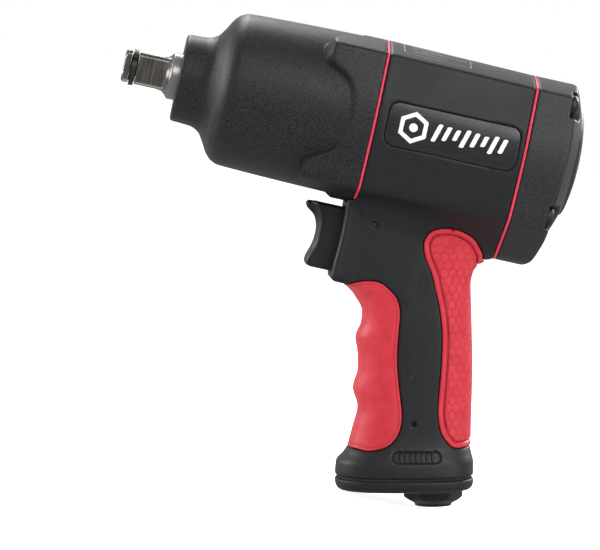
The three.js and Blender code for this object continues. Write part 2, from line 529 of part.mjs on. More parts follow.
const seamRing = HANDLE.at(-1);
const lower = (w, inset) => handleRing([w, seamRing[1], seamRing[2], seamRing[3]], inset);
const GASKET_BASE_W = SEAM_W - SEAT - 0.9;
const inletClear = post(-180, -150, NECK_BORE_R, 18);
const screwHoles = (w0, w1, r) => BASE_SCREWS.map(([u, y]) => moved(post(w0, w1, r, 10, u), 0, y, 0));
piece("base_gasket", cut(
  loft([lower(SEAM_W - SEAT, 0.9), lower(GASKET_BASE_W, 0.9)]),
  inletClear, block(EXHAUST.u0, EXHAUST.u1, -EXHAUST.half, EXHAUST.half, -170, -150),
  ...screwHoles(-170, -150, 1.9),
), RUBBER, handle);
function exhaustDeflector() {
  const top = GASKET_BASE_W - SEAT;
  const edge = [[top, 0], [-164.2, 0.2], [-165.8, 1.4], [BASE_W + 0.3, 3.2], [BASE_W, 4.6]];
  const body = loft(edge.map((at) => lower(...at)));
  const vents = [-1, 0, 1].map((i) => block(96.5, 109, i * 6 - 1.6, i * 6 + 1.6, -170, top + 1));
  const chamber = block(95, 110.5, -9, 9, top - 2, top + 1);
  const screws = [...screwHoles(-170, -150, 1.9), ...screwHoles(-170, -165.2, 3.1)];
  return cut(body, inletClear, ...vents, chamber, ...screws);
}
piece("exhaust_deflector", exhaustDeflector(), COMPOSITE, handle);
piece("exhaust_muffler", block(98, 110, -7.5, 7.5, -160.8, -132), FELT, handle);
BASE_SCREWS.forEach(([u, y], i) => {
  const screw = turnedUp([
    [-167, 0], [-167, 2.8], [-165.4, 2.8], [-165.4, 1.5], [-153, 1.5], [-153, 0],
  ], 12, u);
  piece(`base_screw_${i + 1}`, moved(screw, 0, y, 0), BLACK_STEEL, handle);
});

// ---------- gaskets, rear cover and through bolts ----------
const feedHole = (x0, x1) => rod(x0, x1, 3, 14, 0, -37);
piece("front_gasket", cut(
  lengthways(section(HOUSING_X), CASE_END_X + SEAT, HOUSING_X - SEAT, [circle(HOUSING_BORE_R, 28)]),
  ...boltHoles(90, 110),
), GASKET_RED);
piece("rear_gasket", cut(
  lengthways(section(HOUSING_END_X), HOUSING_END_X + SEAT, COVER_X - SEAT, [circle(HOUSING_BORE_R, 28)]),
  ...boltHoles(150, 165), feedHole(150, 165),
), GASKET_RED);

// [x, top, bottom, half width] of the rear cover's crown.
const CROWN = [
  [COVER_X, 30.9, -42.9, 34], [172, 30.6, -42.3, 32.8], [174.4, 29.8, -36.2, 31.6], [176.8, 26.8, -29, 27.8],
  [179.2, 22.6, -23.4, 23], [181.2, 16.6, -16.4, 16.8], [182.4, 10.5, -9.6, 10.4], [COVER_END_X, 4.5, -4, 4.5],
];
const KNOB_X = 178.2; // floor of the direction knob's recess
const KNOB_R = 12;
const KNOB_SWING = 25; // degrees each way
const LEVER_R = 18.8; // reach of the pocket that the knob's lever swings in
const DETENT_Z = -8.6;
function rearCover() {
  const base = section(HOUSING_END_X);
  const [, fullTop, fullBottom, fullHalf] = CROWN[0];
  const crown = loft(CROWN.map(([x, top, bottom, half]) => base.map(([y, z]) =>
    new THREE.Vector3(x, (y * half) / fullHalf, z > 0 ? (z * top) / fullTop : (z * bottom) / fullBottom))));
  const cavity = rod(COVER_X - 1, 166.5, 24.5, 24);
  const stemHole = rod(160, 190, 5.3, 20);
  const recess = rod(KNOB_X, 190, KNOB_R + 0.5, 24);
  // Room for the knob's lever to swing each way.
  const sweep = THREE.MathUtils.degToRad(KNOB_SWING + 11);
  const fan = [-1, -0.5, 0, 0.5, 1].map((t) =>
    [LEVER_R * Math.sin(t * sweep), LEVER_R * Math.cos(t * sweep)]);
  const fence = lengthways([[0, 0], ...fan], KNOB_X, 190);
  const heads = boltPlaces.flatMap(([y, z]) => [
    rod(BOLT_HEAD_X - 0.1, 190, BOLT_HEAD_R + 1, 14, y, z),
    block(BOLT_HEAD_X - 0.1, 190, Math.min(y, y * 2), Math.max(y, y * 2), z - 4.6, z + 4.6),
  ]);
  const detent = rod(174, KNOB_X + 1, 1.6, 10, 0, DETENT_Z);
  const feed = join(feedHole(150, 164), block(160, 164, -3, 3, -39, -20));
  return cut(crown, cavity, stemHole, recess, fence, detent, feed, ...heads, ...boltHoles(COVER_X - 1, 190));
}
piece("rear_cover", rearCover(), COMPOSITE);
boltPlaces.forEach(([y, z], i) => {
  const end = BOLT_HEAD_X + BOLT_HEAD_HIGH;
  const bolt = turned([
    [80, 0], [80, BOLT_R], [BOLT_HEAD_X, BOLT_R], [BOLT_HEAD_X, BOLT_HEAD_R],
    [end - 0.5, BOLT_HEAD_R], [end, BOLT_HEAD_R - 0.5], [end, 0],
  ], 12, y, z);
  const hexSocket = moved(lengthways(circle(2.3, 6), end - 2.4, end + 1), 0, y, z);
  piece(`through_bolt_${i + 1}`, cut(bolt, hexSocket), BLACK_STEEL);
});

// ---------- forward and reverse selector ----------
function reverseValve() {
  const disc = rod(159.2, 165.8, 23.8, 24);
  const stem = rod(165, KNOB_X + 1.5, 4.9, 20);
  const ports = [35, 145, 215, 325].map((turn) => rod(150, 170, 3, 12, 0, 17).rotate([turn, 0, 0]));
  return cut(join(disc, stem), ...ports, rod(150, 161.5, 9, 20));
}
piece("reverse_valve", reverseValve(), ALUMINIUM);
function reverseKnob() {
  const back = KNOB_X + 1.8;
  const dial = turned([[back, 0], [back, KNOB_R], [181, KNOB_R], [181.8, 11], [182.2, 0]], 24);
  const lever = block(back, 181.4, -2.4, 2.4, 6, 17.5);
  const fins = [-5.5, 5.5].map((y) => block(180.6, 184, y - 2.2, y + 2.2, -8.6, 8.6));
  return cut(join(dial, lever), ...fins);
}
piece("reverse_knob", reverseKnob(), COMPOSITE);
const ball = new THREE.SphereGeometry(1.3, 10, 8).translate(KNOB_X + 0.1, 0, DETENT_Z);
piece("detent_ball", solid(ball), STEEL);
piece("detent_spring", moved(tube(174.2, 176.6, 0.8, 1.3, 10), 0, 0, DETENT_Z), STEEL);

export default wrench;
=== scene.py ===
"""Looks of a pistol-grip air impact wrench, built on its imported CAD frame.

The moulded and cast pieces are distance fields in millimetres, in the row frame: +X back along the
drive axis, +Z up, +Y across, with the handle's own u (back) and w (up) raked by 12.5 degrees.
A field is below zero inside its solid. Each is sampled on a grid and skinned with surface nets.
"""

import json
import math

import bpy
import numpy as np
from mathutils import Matrix, Vector


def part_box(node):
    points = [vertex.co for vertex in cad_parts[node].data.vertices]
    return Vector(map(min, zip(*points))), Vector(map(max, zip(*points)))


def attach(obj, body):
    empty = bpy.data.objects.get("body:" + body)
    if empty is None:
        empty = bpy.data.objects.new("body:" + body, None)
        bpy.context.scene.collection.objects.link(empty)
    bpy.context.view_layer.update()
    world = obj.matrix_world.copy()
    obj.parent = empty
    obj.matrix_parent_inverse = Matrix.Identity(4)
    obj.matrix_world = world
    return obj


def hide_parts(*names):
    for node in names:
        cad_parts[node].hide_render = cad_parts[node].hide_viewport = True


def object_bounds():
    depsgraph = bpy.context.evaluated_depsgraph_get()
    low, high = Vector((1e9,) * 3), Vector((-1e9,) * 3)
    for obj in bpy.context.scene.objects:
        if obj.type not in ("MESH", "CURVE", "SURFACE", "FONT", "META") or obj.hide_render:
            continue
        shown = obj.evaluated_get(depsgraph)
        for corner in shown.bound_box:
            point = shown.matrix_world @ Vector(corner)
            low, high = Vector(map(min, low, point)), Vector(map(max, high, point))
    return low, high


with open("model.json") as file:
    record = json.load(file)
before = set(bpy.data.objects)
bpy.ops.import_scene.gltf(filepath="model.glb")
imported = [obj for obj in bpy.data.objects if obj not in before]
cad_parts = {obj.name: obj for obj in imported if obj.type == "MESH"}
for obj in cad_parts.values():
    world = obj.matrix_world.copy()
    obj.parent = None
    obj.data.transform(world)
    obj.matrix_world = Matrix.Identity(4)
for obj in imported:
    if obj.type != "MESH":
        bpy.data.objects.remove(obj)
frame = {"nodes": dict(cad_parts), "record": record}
CAD_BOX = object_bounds()

MM = 0.001
FINE = 1.0  # coarser grids while trying things

# ---------- driving dimensions, in millimetres ----------
RAKE = math.radians(12.5)
NOSE_X = 22
HOUSING_X = 99.9
HOUSING_END_X = 157.2
FRONT_SEAM = (98.35, 99.4)  # the red gasket's two faces
REAR_SEAM = (157.55, 158.6)
SEAM_GAP = 0.08
BOLT_OFFSET = 22
BOLT_HEAD_X = 172.4
CASE_CAVITY_R = 27.4
NOSE_BORE_R = 12.6
HOUSING_BORE_R = 28.3
SQUARE = 12.7
SHAFT_R = 9.25
KNOB_FLOOR_X = 178.2
KNOB_R = 12
TRIGGER_Z = -48.5
TRIGGER_HALF_WIDTH = 7.6
TRIGGER_PIN = (108.8, -39.4)
SUPPLY_U = 121.9
SUPPLY_R = 8.2
SEAM_W = -161.3
DEFLECTOR_W = -162.4
BASE_W = -167.1
INLET_W = -173.9
GRIP_THICK = 2.5
PROUD = 0.35  # how far the soft grips stand out of the shell


# ---------- fields ----------
def soft_max(a, b, k):
    """The larger of two fields, with the corner between them rounded over about k."""
    share = np.clip(0.5 + 0.5 * (a - b) / k, 0, 1)
    return b + (a - b) * share + k * share * (1 - share)


def soft_min(a, b, k):
    return -soft_max(-a, -b, k)


def both(first, *rest, k=0.5):
    for field in rest:
        first = soft_max(first, field, k)
    return first


def without(field, *cuts, k=0.4):
    for hole in cuts:
        field = soft_max(field, -hole, k)
    return field


def between(value, low, high, k=0.4):
    return soft_max(low - value, value - high, k)


def cylinder(a, b, radius):
    return np.hypot(a, b) - radius


def capsule(a, b, reach, radius):
    """A lying pill shape: half its straight length is reach."""
    return np.hypot(np.maximum(np.abs(a) - reach, 0), b) - radius


def rounded_box(a, b, half_a, half_b, radius):
    da = np.abs(a) - half_a + radius
    db = np.abs(b) - half_b + radius
    outside = np.hypot(np.maximum(da, 0), np.maximum(db, 0))
    return outside + np.minimum(np.maximum(da, db), 0) - radius


def hexagon(a, b):
    """The distance across to the nearest of a hexagon's flats, one pair of which faces along a."""
    turns = (0, math.pi / 3, -math.pi / 3)
    return np.max([np.abs(a * math.cos(t) + b * math.sin(t)) for t in turns], axis=0)


def profile(points):
    """A smooth function through points of (position, value) that never overshoots them."""
    at, value = np.array(points, float).T
    secant = np.diff(value) / np.diff(at)
    before, after = secant[:-1], secant[1:]
    turning = before * after <= 0
    mean = 2 * before * after / np.where(turning, 1, before + after)
    slope = np.concatenate([secant[:1], np.where(turning, 0, mean), secant[-1:]])
    fine = np.linspace(at[0], at[-1], 900)
    i = np.clip(np.searchsorted(at, fine, "right") - 1, 0, len(at) - 2)
    span = at[i + 1] - at[i]
    t = (fine - at[i]) / span
    curve = (
        value[i] * (1 + 2 * t) * (1 - t) ** 2
        + slope[i] * span * t * (1 - t) ** 2
        + value[i + 1] * t**2 * (3 - 2 * t)
        + slope[i + 1] * span * t**2 * (t - 1)
    )
    return lambda x: np.interp(x, fine, curve)


def curve_through(points, per=6):
    """An open Catmull-Rom curve through 2-D points."""
    points = np.array(points, float)
    padded = np.vstack([2 * points[0] - points[1], points, 2 * points[-1] - points[-2]])
    out = []
    for a, b, c, d in zip(padded, padded[1:], padded[2:], padded[3:]):
        for t in np.arange(per) / per:
            square, cube = 2 * a - 5 * b + 4 * c - d, 3 * b - a - 3 * c + d
            out.append(0.5 * (2 * b + (c - a) * t + square * t**2 + cube * t**3))
    return [tuple(p) for p in out] + [tuple(points[-1])]


def outline_distance(outline, a, b):
    """Signed distance from points (a, b) to a closed outline, below zero inside."""
    nearest = np.full(a.shape, 1e9)
    inside = np.zeros(a.shape, bool)
    for (a0, b0), (a1, b1) in zip(outline, outline[1:] + outline[:1]):
        da, db = a1 - a0, b1 - b0
        t = np.clip(((a - a0) * da + (b - b0) * db) / (da * da + db * db + 1e-12), 0, 1)
        nearest = np.minimum(nearest, np.hypot(a - a0 - t * da, b - b0 - t * db))
        if b0 != b1:
            inside ^= ((b0 > b) != (b1 > b)) & (a < a0 + (b - b0) * da / db)
    return np.where(inside, -nearest, nearest)


def turned(x, r, radius_at):
    """A solid of revolution whose outline is radius_at(x)."""
    slope = (radius_at(x + 0.2) - radius_at(x - 0.2)) / 0.4
    return (r - radius_at(x)) / np.sqrt(1 + slope**2)


def to_handle(x, z):
    c, s = math.cos(RAKE), math.sin(RAKE)
    return x * c + z * s, z * c - x * s


# ---------- skins ----------
def surface_nets(field, corner, step):
    """Vertices and outward quads of the zero surface of a sampled field."""
    inside = field < 0
    corners = [(i, j, k) for i in (0, 1) for j in (0, 1) for k in (0, 1)]
    size = [n - 1 for n in field.shape]
    count = sum(
        inside[i : i + size[0], j : j + size[1], k : k + size[2]].astype(np.int8) for i, j, k in corners
    )
    cells = np.argwhere((count > 0) & (count < 8))
    values = np.stack([field[tuple((cells + c).T)] for c in corners], axis=1)
    total = np.zeros((len(cells), 3))
    crossings = np.zeros(len(cells))
    for p, q in ((p, q) for p in range(8) for q in range(p + 1, 8)):
        start, end = np.array(corners[p]), np.array(corners[q])
        if np.abs(end - start).sum() != 1:
            continue
        a, b = values[:, p], values[:, q]
        crosses = (a < 0) != (b < 0)
        t = np.where(crosses, a / np.where(crosses, a - b, 1), 0)
        total += crosses[:, None] * (start + t[:, None] * (end - start))
        crossings += crosses
    vertices = (cells + total / crossings[:, None]) * step + corner
    number = np.full(size, -1, np.int32)
    number[tuple(cells.T)] = np.arange(len(cells))
    quads = []
    for axis in range(3):
        other = [(axis + 1) % 3, (axis + 2) % 3]
        low = [slice(None)] * 3
        high = [slice(None)] * 3
        low[axis], high[axis] = slice(0, -1), slice(1, None)
        changed = inside[tuple(low)] != inside[tuple(high)]
        edges = np.argwhere(changed)
        edges = edges[(edges[:, other[0]] > 0) & (edges[:, other[1]] > 0)]
        edges = edges[(edges[:, other[0]] < size[other[0]]) & (edges[:, other[1]] < size[other[1]])]
        ring = []
        for back_a, back_b in ((1, 1), (0, 1), (0, 0), (1, 0)):
            cell = edges.copy()
            cell[:, other[0]] -= back_a
            cell[:, other[1]] -= back_b
            ring.append(number[tuple(cell.T)])
        ring = np.stack(ring, axis=1)
        leaving = inside[tuple(edges.T)]
        quads.append(np.where(leaving[:, None], ring, ring[:, ::-1]))
    return vertices, np.concatenate(quads)


def relaxed(vertices, quads, rounds=2):
    """Evens out the grid's steps without shrinking the shape."""
    pairs = np.sort(np.concatenate([quads[:, [i, (i + 1) % 4]] for i in range(4)]), axis=1)
    pairs = np.unique(pairs, axis=0)
    both_ways = np.concatenate([pairs, pairs[:, ::-1]])
    degree = np.bincount(both_ways[:, 0], minlength=len(vertices))[:, None]
    here, there = both_ways.T
    for _ in range(rounds):
        for weight in (0.5, -0.52):
            near = [np.bincount(here, vertices[there, k], len(vertices)) for k in range(3)]
            vertices = vertices + weight * (np.stack(near, axis=1) / degree - vertices)
    return vertices


def mesh_object(name, vertices, faces):
    mesh = bpy.data.meshes.new(name)
    mesh.vertices.add(len(vertices))
    mesh.vertices.foreach_set("co", (np.asarray(vertices) * MM).ravel())
    sides = faces.shape[1]
    mesh.loops.add(faces.size)
    mesh.loops.foreach_set("vertex_index", faces.ravel().astype(np.int32))
    mesh.polygons.add(len(faces))
    mesh.polygons.foreach_set("loop_start", np.arange(0, faces.size, sides, dtype=np.int32))
    mesh.polygons.foreach_set("use_smooth", np.ones(len(faces), bool))
    mesh.update(calc_edges=True)
    mesh.validate()
    piece = bpy.data.objects.new(name, mesh)
    bpy.context.scene.collection.objects.link(piece)
    return piece


def grid(low, high, step):
    """Open grids of x, y and z over a box. Y runs from the mid plane to one side."""
    x = np.arange(low[0] - 2 * step, high[0] + 2 * step, step)
    y = step * (0.5 + np.arange(math.ceil(high[1] / step) + 2))
    z = np.arange(low[2] - 2 * step, high[2] + 2 * step, step)
    return x[:, None, None], y[None, :, None], z[None, None, :]


def half_shell(name, low, high, step, field_of):
    """A piece that is the same on both sides of Y = 0: its field is found on one side and mirrored."""
    step = step * FINE
    x, y, z = grid(low, high, step)
    half = np.broadcast_to(field_of(x, y, z), (x.size, y.size, z.size))
    field = np.concatenate([half[:, ::-1], half], axis=1)
    corner = np.array([x[0, 0, 0], -y[0, -1, 0], z[0, 0, 0]])
    vertices, quads = surface_nets(field, corner, step)
    return mesh_object(name, relaxed(vertices, quads), quads)


def side_shell(name, low, high, step, field_of, side):
    """A piece on one side of the tool. Its field is given for +Y; side is +1 or -1."""
    step = step * FINE
    x, y, z = (np.arange(low[i] - 2 * step, high[i] + 2 * step, step) for i in range(3))
    field = field_of(x[:, None, None], y[None, :, None], z[None, None, :])
    field = np.broadcast_to(field, (x.size, y.size, z.size))
    vertices, quads = surface_nets(field, np.array([x[0], y[0], z[0]]), step)
    vertices = relaxed(vertices, quads, 1)
    if side < 0:
        vertices[:, 1] *= -1
        quads = quads[:, ::-1]
    return mesh_object(name, vertices, np.ascontiguousarray(quads))


# ---------- the barrel's section and the handle's ----------
# Corners of half the barrel's section, from the top down: (y, z).
SECTION_FRONT = [(13, 32), (28, 26.5), (33.4, 0), (28.5, -26.5), (11, -33.1)]
SECTION_REAR = [(13, 30.9), (27.6, 25.6), (34, -2), (29.8, -25.6), (8, -42.9)]


def section(x, y, z):
    """The barrel's prism, without its ends."""
    y = np.abs(y)
    share = np.clip((x - HOUSING_X) / (HOUSING_END_X - HOUSING_X), 0, 1)
    corners = [
        ((1 - share) * fy + share * ry, (1 - share) * fz + share * rz)
        for (fy, fz), (ry, rz) in zip(SECTION_FRONT, SECTION_REAR)
    ]
    planes = []
    for (y0, z0), (y1, z1) in zip(corners, corners[1:]):
        length = np.hypot(y1 - y0, z1 - z0)
        planes.append(((z0 - z1) * (y - y0) + (y1 - y0) * (z - z0)) / length)
    upper_bevel, upper_side, lower_side, lower_bevel = planes
    top = soft_max(z - corners[0][1], upper_bevel, 5)
    side = soft_max(upper_side, lower_side, 4)
    bottom = soft_max(corners[-1][1] - z, lower_bevel, 3)
    return soft_max(soft_max(top, side, 1.3), bottom, 2.6)


# The handle's silhouette and half width, as (w, value).
FRONT = profile([
    (-172, 83), (SEAM_W, 83), (-156, 83.4), (-152.4, 86.4), (-149.6, 88.1), (-142, 90.4), (-134.5, 92.2),
    (-127, 90.4), (-119, 92.4), (-113, 92.2), (-107, 91.4), (-101, 93.6), (-97, 94), (-90, 90.6), (-86, 87.3),
    (-83, 84.4), (-76, 84), (-54, 88), (-30, 93),
])
REAR = profile([
    (-172, 137.6), (SEAM_W, 137.6), (-156, 137.6), (-152.4, 136.8), (-149.6, 136.3), (-119, 136.9),
    (-97, 136.4), (-86, 136), (-81, 137), (-76, 139.8), (-68, 140.6), (-54, 139.7), (-30, 134),
])
HALF = profile([
    (-172, 21), (SEAM_W, 21), (-156, 20.5), (-152.4, 19), (-149.6, 17.6), (-142, 16.7), (-119, 16.4),
    (-101, 16.2), (-90, 15.7), (-68, 15.3), (-30, 15),
])
SQUARENESS = profile([(-172, 2.6), (-100, 2.56), (-84, 3), (-30, 3.4)])
MIDDLE_U = 113


def handle(u, y, w):
    y = np.abs(y)
    front, rear, half, power = FRONT(w), REAR(w), HALF(w), SQUARENESS(w)
    reach = np.where(u < MIDDLE_U, MIDDLE_U - front, rear - MIDDLE_U)
    along = (np.abs(u - MIDDLE_U) / reach) ** power
    across = (y / half) ** power
    total = along + across + 1e-9
    scale = (along * reach + across * half) / total
    return (total ** (1 / power) - 1) * scale


# The front edge of the shell round the trigger, as (z, x).
BOX_FRONT = profile([
    (-75, 96.7), (-62, 96.5), (-58, 96.4), (-52.8, 96.7), (-46.7, 96.9), (-39.8, 96.8), (-33, 96.4),
    (-30, 96.4),
])
BOX_HALF = 15.1
BOX_BOTTOM_Z = -64.6
BOX_REAR_X = 128


def trigger_box(x, y, z):
    """The squared-off shell round the trigger, with a bead along its front edge."""
    back = x - BOX_FRONT(z)
    bead = 0.55 * np.exp(-(((back - 1.3) / 1.0) ** 2))
    plan = soft_max(-back, np.abs(y) - BOX_HALF - bead, 1.6)
    return soft_max(soft_max(plan, BOX_BOTTOM_Z - z, 2.4), x - BOX_REAR_X, 3)


def whole_body(x, y, z):
    """Barrel, trigger shell and handle, blended, without ends or openings."""
    u, w = to_handle(x, z)
    barrel = soft_max(section(x, y, z), x - REAR_SEAM[0] + SEAM_GAP, 0.5)
    grip = soft_min(handle(u, y, w), trigger_box(x, y, z), 3)
    grip = soft_max(grip, z + 12, 2)
    fillet = 0.6 + 7.4 * np.clip((x - 97) / 7, 0, 1)  # none in front, where the hammer case passes over
    return soft_min(barrel, grip, fillet)


# The soft grips' outlines on the side of the handle, as (u, w).
FRONT_GRIP = curve_through([
    (87.3, -85.5), (90.2, -84.5), (95.3, -83.9), (99.8, -84.7), (103.3, -87.3), (106.5, -91.2),
    (107.6, -96.8), (106.9, -105.7), (106.5, -115.5), (107.1, -124.6), (108.3, -135.0), (107.9, -141.1),
    (105.6, -146.1), (101.8, -149.3), (95.9, -150.8), (91.2, -150.3), (85.0, -149.6),
]) + [(78, -150.2), (78, -88.8)]
REAR_GRIP = curve_through([
    (140.5, -76.4), (140.1, -73.5), (136.9, -68.2), (132.9, -65.3), (128.4, -63.7), (123.3, -63.5),
    (119.6, -64.7), (117.2, -67.7), (116.7, -71.1), (117.5, -75.4), (120.0, -81.6), (121.4, -87.9),
    (123.0, -94.8), (124.0, -103.7), (124.0, -111.6), (123.5, -120.5), (122.7, -129.9), (122.4, -137.1),
    (123.7, -143.7), (126.5, -147.9), (129.5, -149.8), (135.4, -149.6),
]) + [(148, -149), (148, -78)]


def edge_distance(outline, x, z):
    """How far a point lies outside a grip's outline, seen from the side."""
    u, w = to_handle(x, z)
    return outline_distance(outline, u, w)


FRONT_RIM = 1.35  # width of the plain rim round each grip, out to its groove
REAR_RIM = 2.45


def grip_field(outline, rim, depth):
    """A soft grip with a groove, depth deep, a rim's width inside its edge."""
    def field(x, y, z):
        edge = edge_distance(outline, x[:, 0, :], z[:, 0, :])[:, None, :]
        skin = whole_body(x, y, z) - PROUD
        channel = depth * np.exp(-(((edge + rim) / 0.42) ** 2))
        return both(skin + channel, edge + 0.12, -(skin + GRIP_THICK), k=0.7)

    return field


def grip_pocket(outline, x, z, body):
    edge = edge_distance(outline, x[:, 0, :], z[:, 0, :])[:, None, :]
    return np.maximum(edge - 0.05, -(body + GRIP_THICK - PROUD + 0.2))


# ---------- housing ----------
PLATE_X = (103.6 + 155.2) / 2
PLATE_Z = 0.7
PLATE_HALF = (25.8, 8.5)
BADGE = (113.9, -153.1)  # middle of the oval recess over the base, (u, w)
BADGE_DEEP = 1.3
LOCK_PIN = (112.9, -140)
BOLT_HOLE_R = 2.8
TRIGGER_OPENING = (-48.45, 8.2, 13.2)  # its middle in Z, and half its width and height


def badge_oval(u, w, grow=0.0):
    return capsule(u - BADGE[0], w - BADGE[1], 7.3, 2.2 + grow)


def bolt_distance(y, z):
    return np.hypot(np.abs(y) - BOLT_OFFSET, np.abs(z) - BOLT_OFFSET)


def plate_rect(x, z, grow=0.0):
    return rounded_box(x - PLATE_X, z - PLATE_Z, PLATE_HALF[0] + grow, PLATE_HALF[1] + grow, 4 + grow)


def motor_housing(x, y, z):
    u, w = to_handle(x, z)
    body = whole_body(x, y, z)
    r = np.hypot(y, z)
    front = FRONT_SEAM[1] + SEAM_GAP
    # The hammer case's flange covers the housing's front, so the housing stops at the gasket there.
    under_case = soft_max(x - front, section(np.full_like(x, HOUSING_X), y, z) - 0.15, 0.3)
    shell = soft_max(body, -under_case, 0.5)
    shell = both(shell, x - np.where(z < -43.5, 200, REAR_SEAM[0] - SEAM_GAP), SEAM_W - w, k=0.4)
    pockets = [grip_pocket(outline, x, z, body) for outline in (FRONT_GRIP, REAR_GRIP)]
    supply = both(cylinder(u - SUPPLY_U, y, np.where(w > -140.5, SUPPLY_R, 9.4)), w + 60)
    duct = both(rounded_box(u - 104, y, 6.5, 8, 1), w + 92)
    opening_z, opening_half, opening_high = TRIGGER_OPENING
    holes = [
        r - HOUSING_BORE_R,
        bolt_distance(y, z) - BOLT_HOLE_R,
        both(rounded_box(y, z - opening_z, opening_half, opening_high, 0.8), x - 118),
        both(cylinder(y, z - TRIGGER_Z, 4.3), between(x, 117, 129)),
        cylinder(x - TRIGGER_PIN[0], z - TRIGGER_PIN[1], 1.15),
        cylinder(u - LOCK_PIN[0], w - LOCK_PIN[1], 1.05),
        np.maximum(plate_rect(x, z, 0.3), -(body + 0.9)) + np.where(np.abs(y) < 20, 50, 0),
        np.maximum(badge_oval(u, w), -(body + BADGE_DEEP)),
        supply,
        duct,
    ]
    return without(without(shell, *pockets, k=0.5), *holes, k=0.3)


# ---------- hammer case ----------
CASE_R = profile([
    (20, 17.1), (NOSE_X, 17.2), (26, 17.4), (30.5, 17.75), (33.9, 19.3), (36.2, 22.4), (38.9, 26.9),
    (41.4, 29.2), (44, 30.2), (52, 30.6), (70, 31.2), (89, 31.6), (101, 31.8),
])
CAVITY_R = profile([
    (18, NOSE_BORE_R), (41, NOSE_BORE_R), (42, 23), (44.5, CASE_CAVITY_R), (103, CASE_CAVITY_R),
])
# Where the flange and its bosses begin along X, by the angle in degrees from the side to the top.
FLANGE_X = profile([
    (-1, 89.4), (11.5, 88.9), (19, 87.3), (24, 85.6), (28, 82.6), (31, 79.2), (34, 76.5), (38.5, 74.8),
    (45, 74.4), (51, 75), (55.5, 77), (60, 79.8), (65, 83.2), (72, 86.5), (80, 88.6), (91, 89.4), (99, 89.4),
])


def hammer_case(x, y, z):
    r = np.hypot(y, z)
    body = both(turned(x, r, CASE_R), NOSE_X - x, k=1.4)
    outer = section(np.full_like(x, HOUSING_X), y, z)
    angle = np.degrees(np.arctan2(np.abs(z), np.abs(y)))
    angle = angle + np.where(z < 0, 6 * np.clip(angle / 15 - 3.3, 0, 1), 0)  # shorter bosses below
    steep = (FLANGE_X(angle + 0.6) - FLANGE_X(angle - 0.6)) / math.radians(1.2) / np.maximum(r, 5)
    lean = 0.2 + 0.35 * np.clip(z / 20 + 1, 0, 1)  # the noses slope back as they rise, most on top
    nose = FLANGE_X(angle) + lean * np.maximum(r - CASE_R(x), 0) - x
    flange = soft_max(outer, nose / np.sqrt(1 + lean**2 + steep**2), 0.7)
    outer = soft_min(body, flange, 0.4)
    holes = [r - CAVITY_R(x), both(bolt_distance(y, z) - BOLT_HOLE_R, 79.5 - x)]
    return without(both(outer, x - FRONT_SEAM[0] + SEAM_GAP, k=0.4), *holes, k=0.5)


def gasket(x0, x1):
    def field(x, y, z):
        skin = section(x, y, z) - 0.1
        return both(skin, -(skin + 4.5), between(x, x0, x1, 0.25), k=0.3)

    return field


# ---------- rear cover ----------
# The cover's rear wall below and beside its dome, as (z, x).
COVER_SKIRT_X = profile([(-48, 165), (-43, 170.2), (-40.5, 172.4), (-36, 173.6), (-30, 174.4), (40, 174.6)])


def rear_cover(x, y, z):
    r = np.hypot(y, z)
    dome = 182.5 - 0.0073 * r**2
    steep = np.sqrt(1 + (0.0146 * np.minimum(r, 33)) ** 2)
    end = (x - soft_max(dome, COVER_SKIRT_X(z), 1)) / steep
    shell = soft_max(section(x, y, z), end, 1.3)
    boss = soft_max(r - 20.8, (x - (182.9 - 0.0062 * r**2)) / steep, 0.8)
    shell = soft_max(soft_min(shell, boss, 0.5), REAR_SEAM[1] + SEAM_GAP - x, 0.4)
    swing = np.degrees(np.arctan2(np.abs(y), z))
    fan = both(r - 18.8, np.radians(swing - 36) * r, k=0.6)
    head = bolt_distance(y, z) - 5.3
    outward = np.maximum(np.abs(np.abs(z) - BOLT_OFFSET) - 4.8, BOLT_OFFSET - np.abs(y))
    pocket = both(soft_min(head, outward, 0.5), BOLT_HEAD_X - 0.1 - x)
    # Two finger notches in the boss's rim, on each side of the lever.
    notch = both(np.abs(swing - np.where(swing > 62, 72, 52)) * r / 57.3 - 1.1, 18.9 - r, r - 24, 180.2 - x)
    holes = [
        both(r - 24.5, x - 166.5),
        r - 5.3,
        both(np.minimum(r - KNOB_R - 0.5, fan), KNOB_FLOOR_X - x),
        pocket,
        bolt_distance(y, z) - BOLT_HOLE_R,
        notch,
    ]
    return without(shell, *holes, k=0.4)


BUTTON_R = profile([
    (BOLT_HEAD_X - 0.2, 4.4), (BOLT_HEAD_X + 0.9, 4.4), (BOLT_HEAD_X + 1.7, 4.1), (BOLT_HEAD_X + 2.4, 3.5),
    (BOLT_HEAD_X + 2.9, 2.7), (BOLT_HEAD_X + 3.15, 1.8), (BOLT_HEAD_X + 3.3, 0.4),
])


def through_bolt(y0, z0):
    """A button-headed screw with a hex socket, its axis at (y0, z0)."""
    def field(x, y, z):
        a, b = y - y0, z - z0
        r = np.hypot(a, b)
        shank = both(r - 2.4, between(x, 80, BOLT_HEAD_X + 1))
        head = both(turned(x, r, BUTTON_R), BOLT_HEAD_X - x, k=0.2)
        socket = hexagon(b, a) - 1.5
        return without(np.minimum(shank, head), both(socket, BOLT_HEAD_X + 1.2 - x), k=0.15)

    return field


# ---------- trigger ----------
TRIGGER_OUTLINE = curve_through([
    (82.3, -35.7), (81.3, -37), (82.3, -39.1), (85.4, -41.7), (87.15, -46.3), (86.9, -52.3), (85.6, -57.6),
    (86, -60.2), (88, -61.2),
]) + [(112, -61.2), (112, -35.8)]


# The rear edge of the finger pad on the trigger's front, as (z, x).
PAD_REAR = profile([
    (-62, 86.8), (-57, 88), (-53.2, 89.5), (-50, 90), (-43.7, 89.7), (-39.5, 88.6), (-37, 87), (-35, 85.6),
])


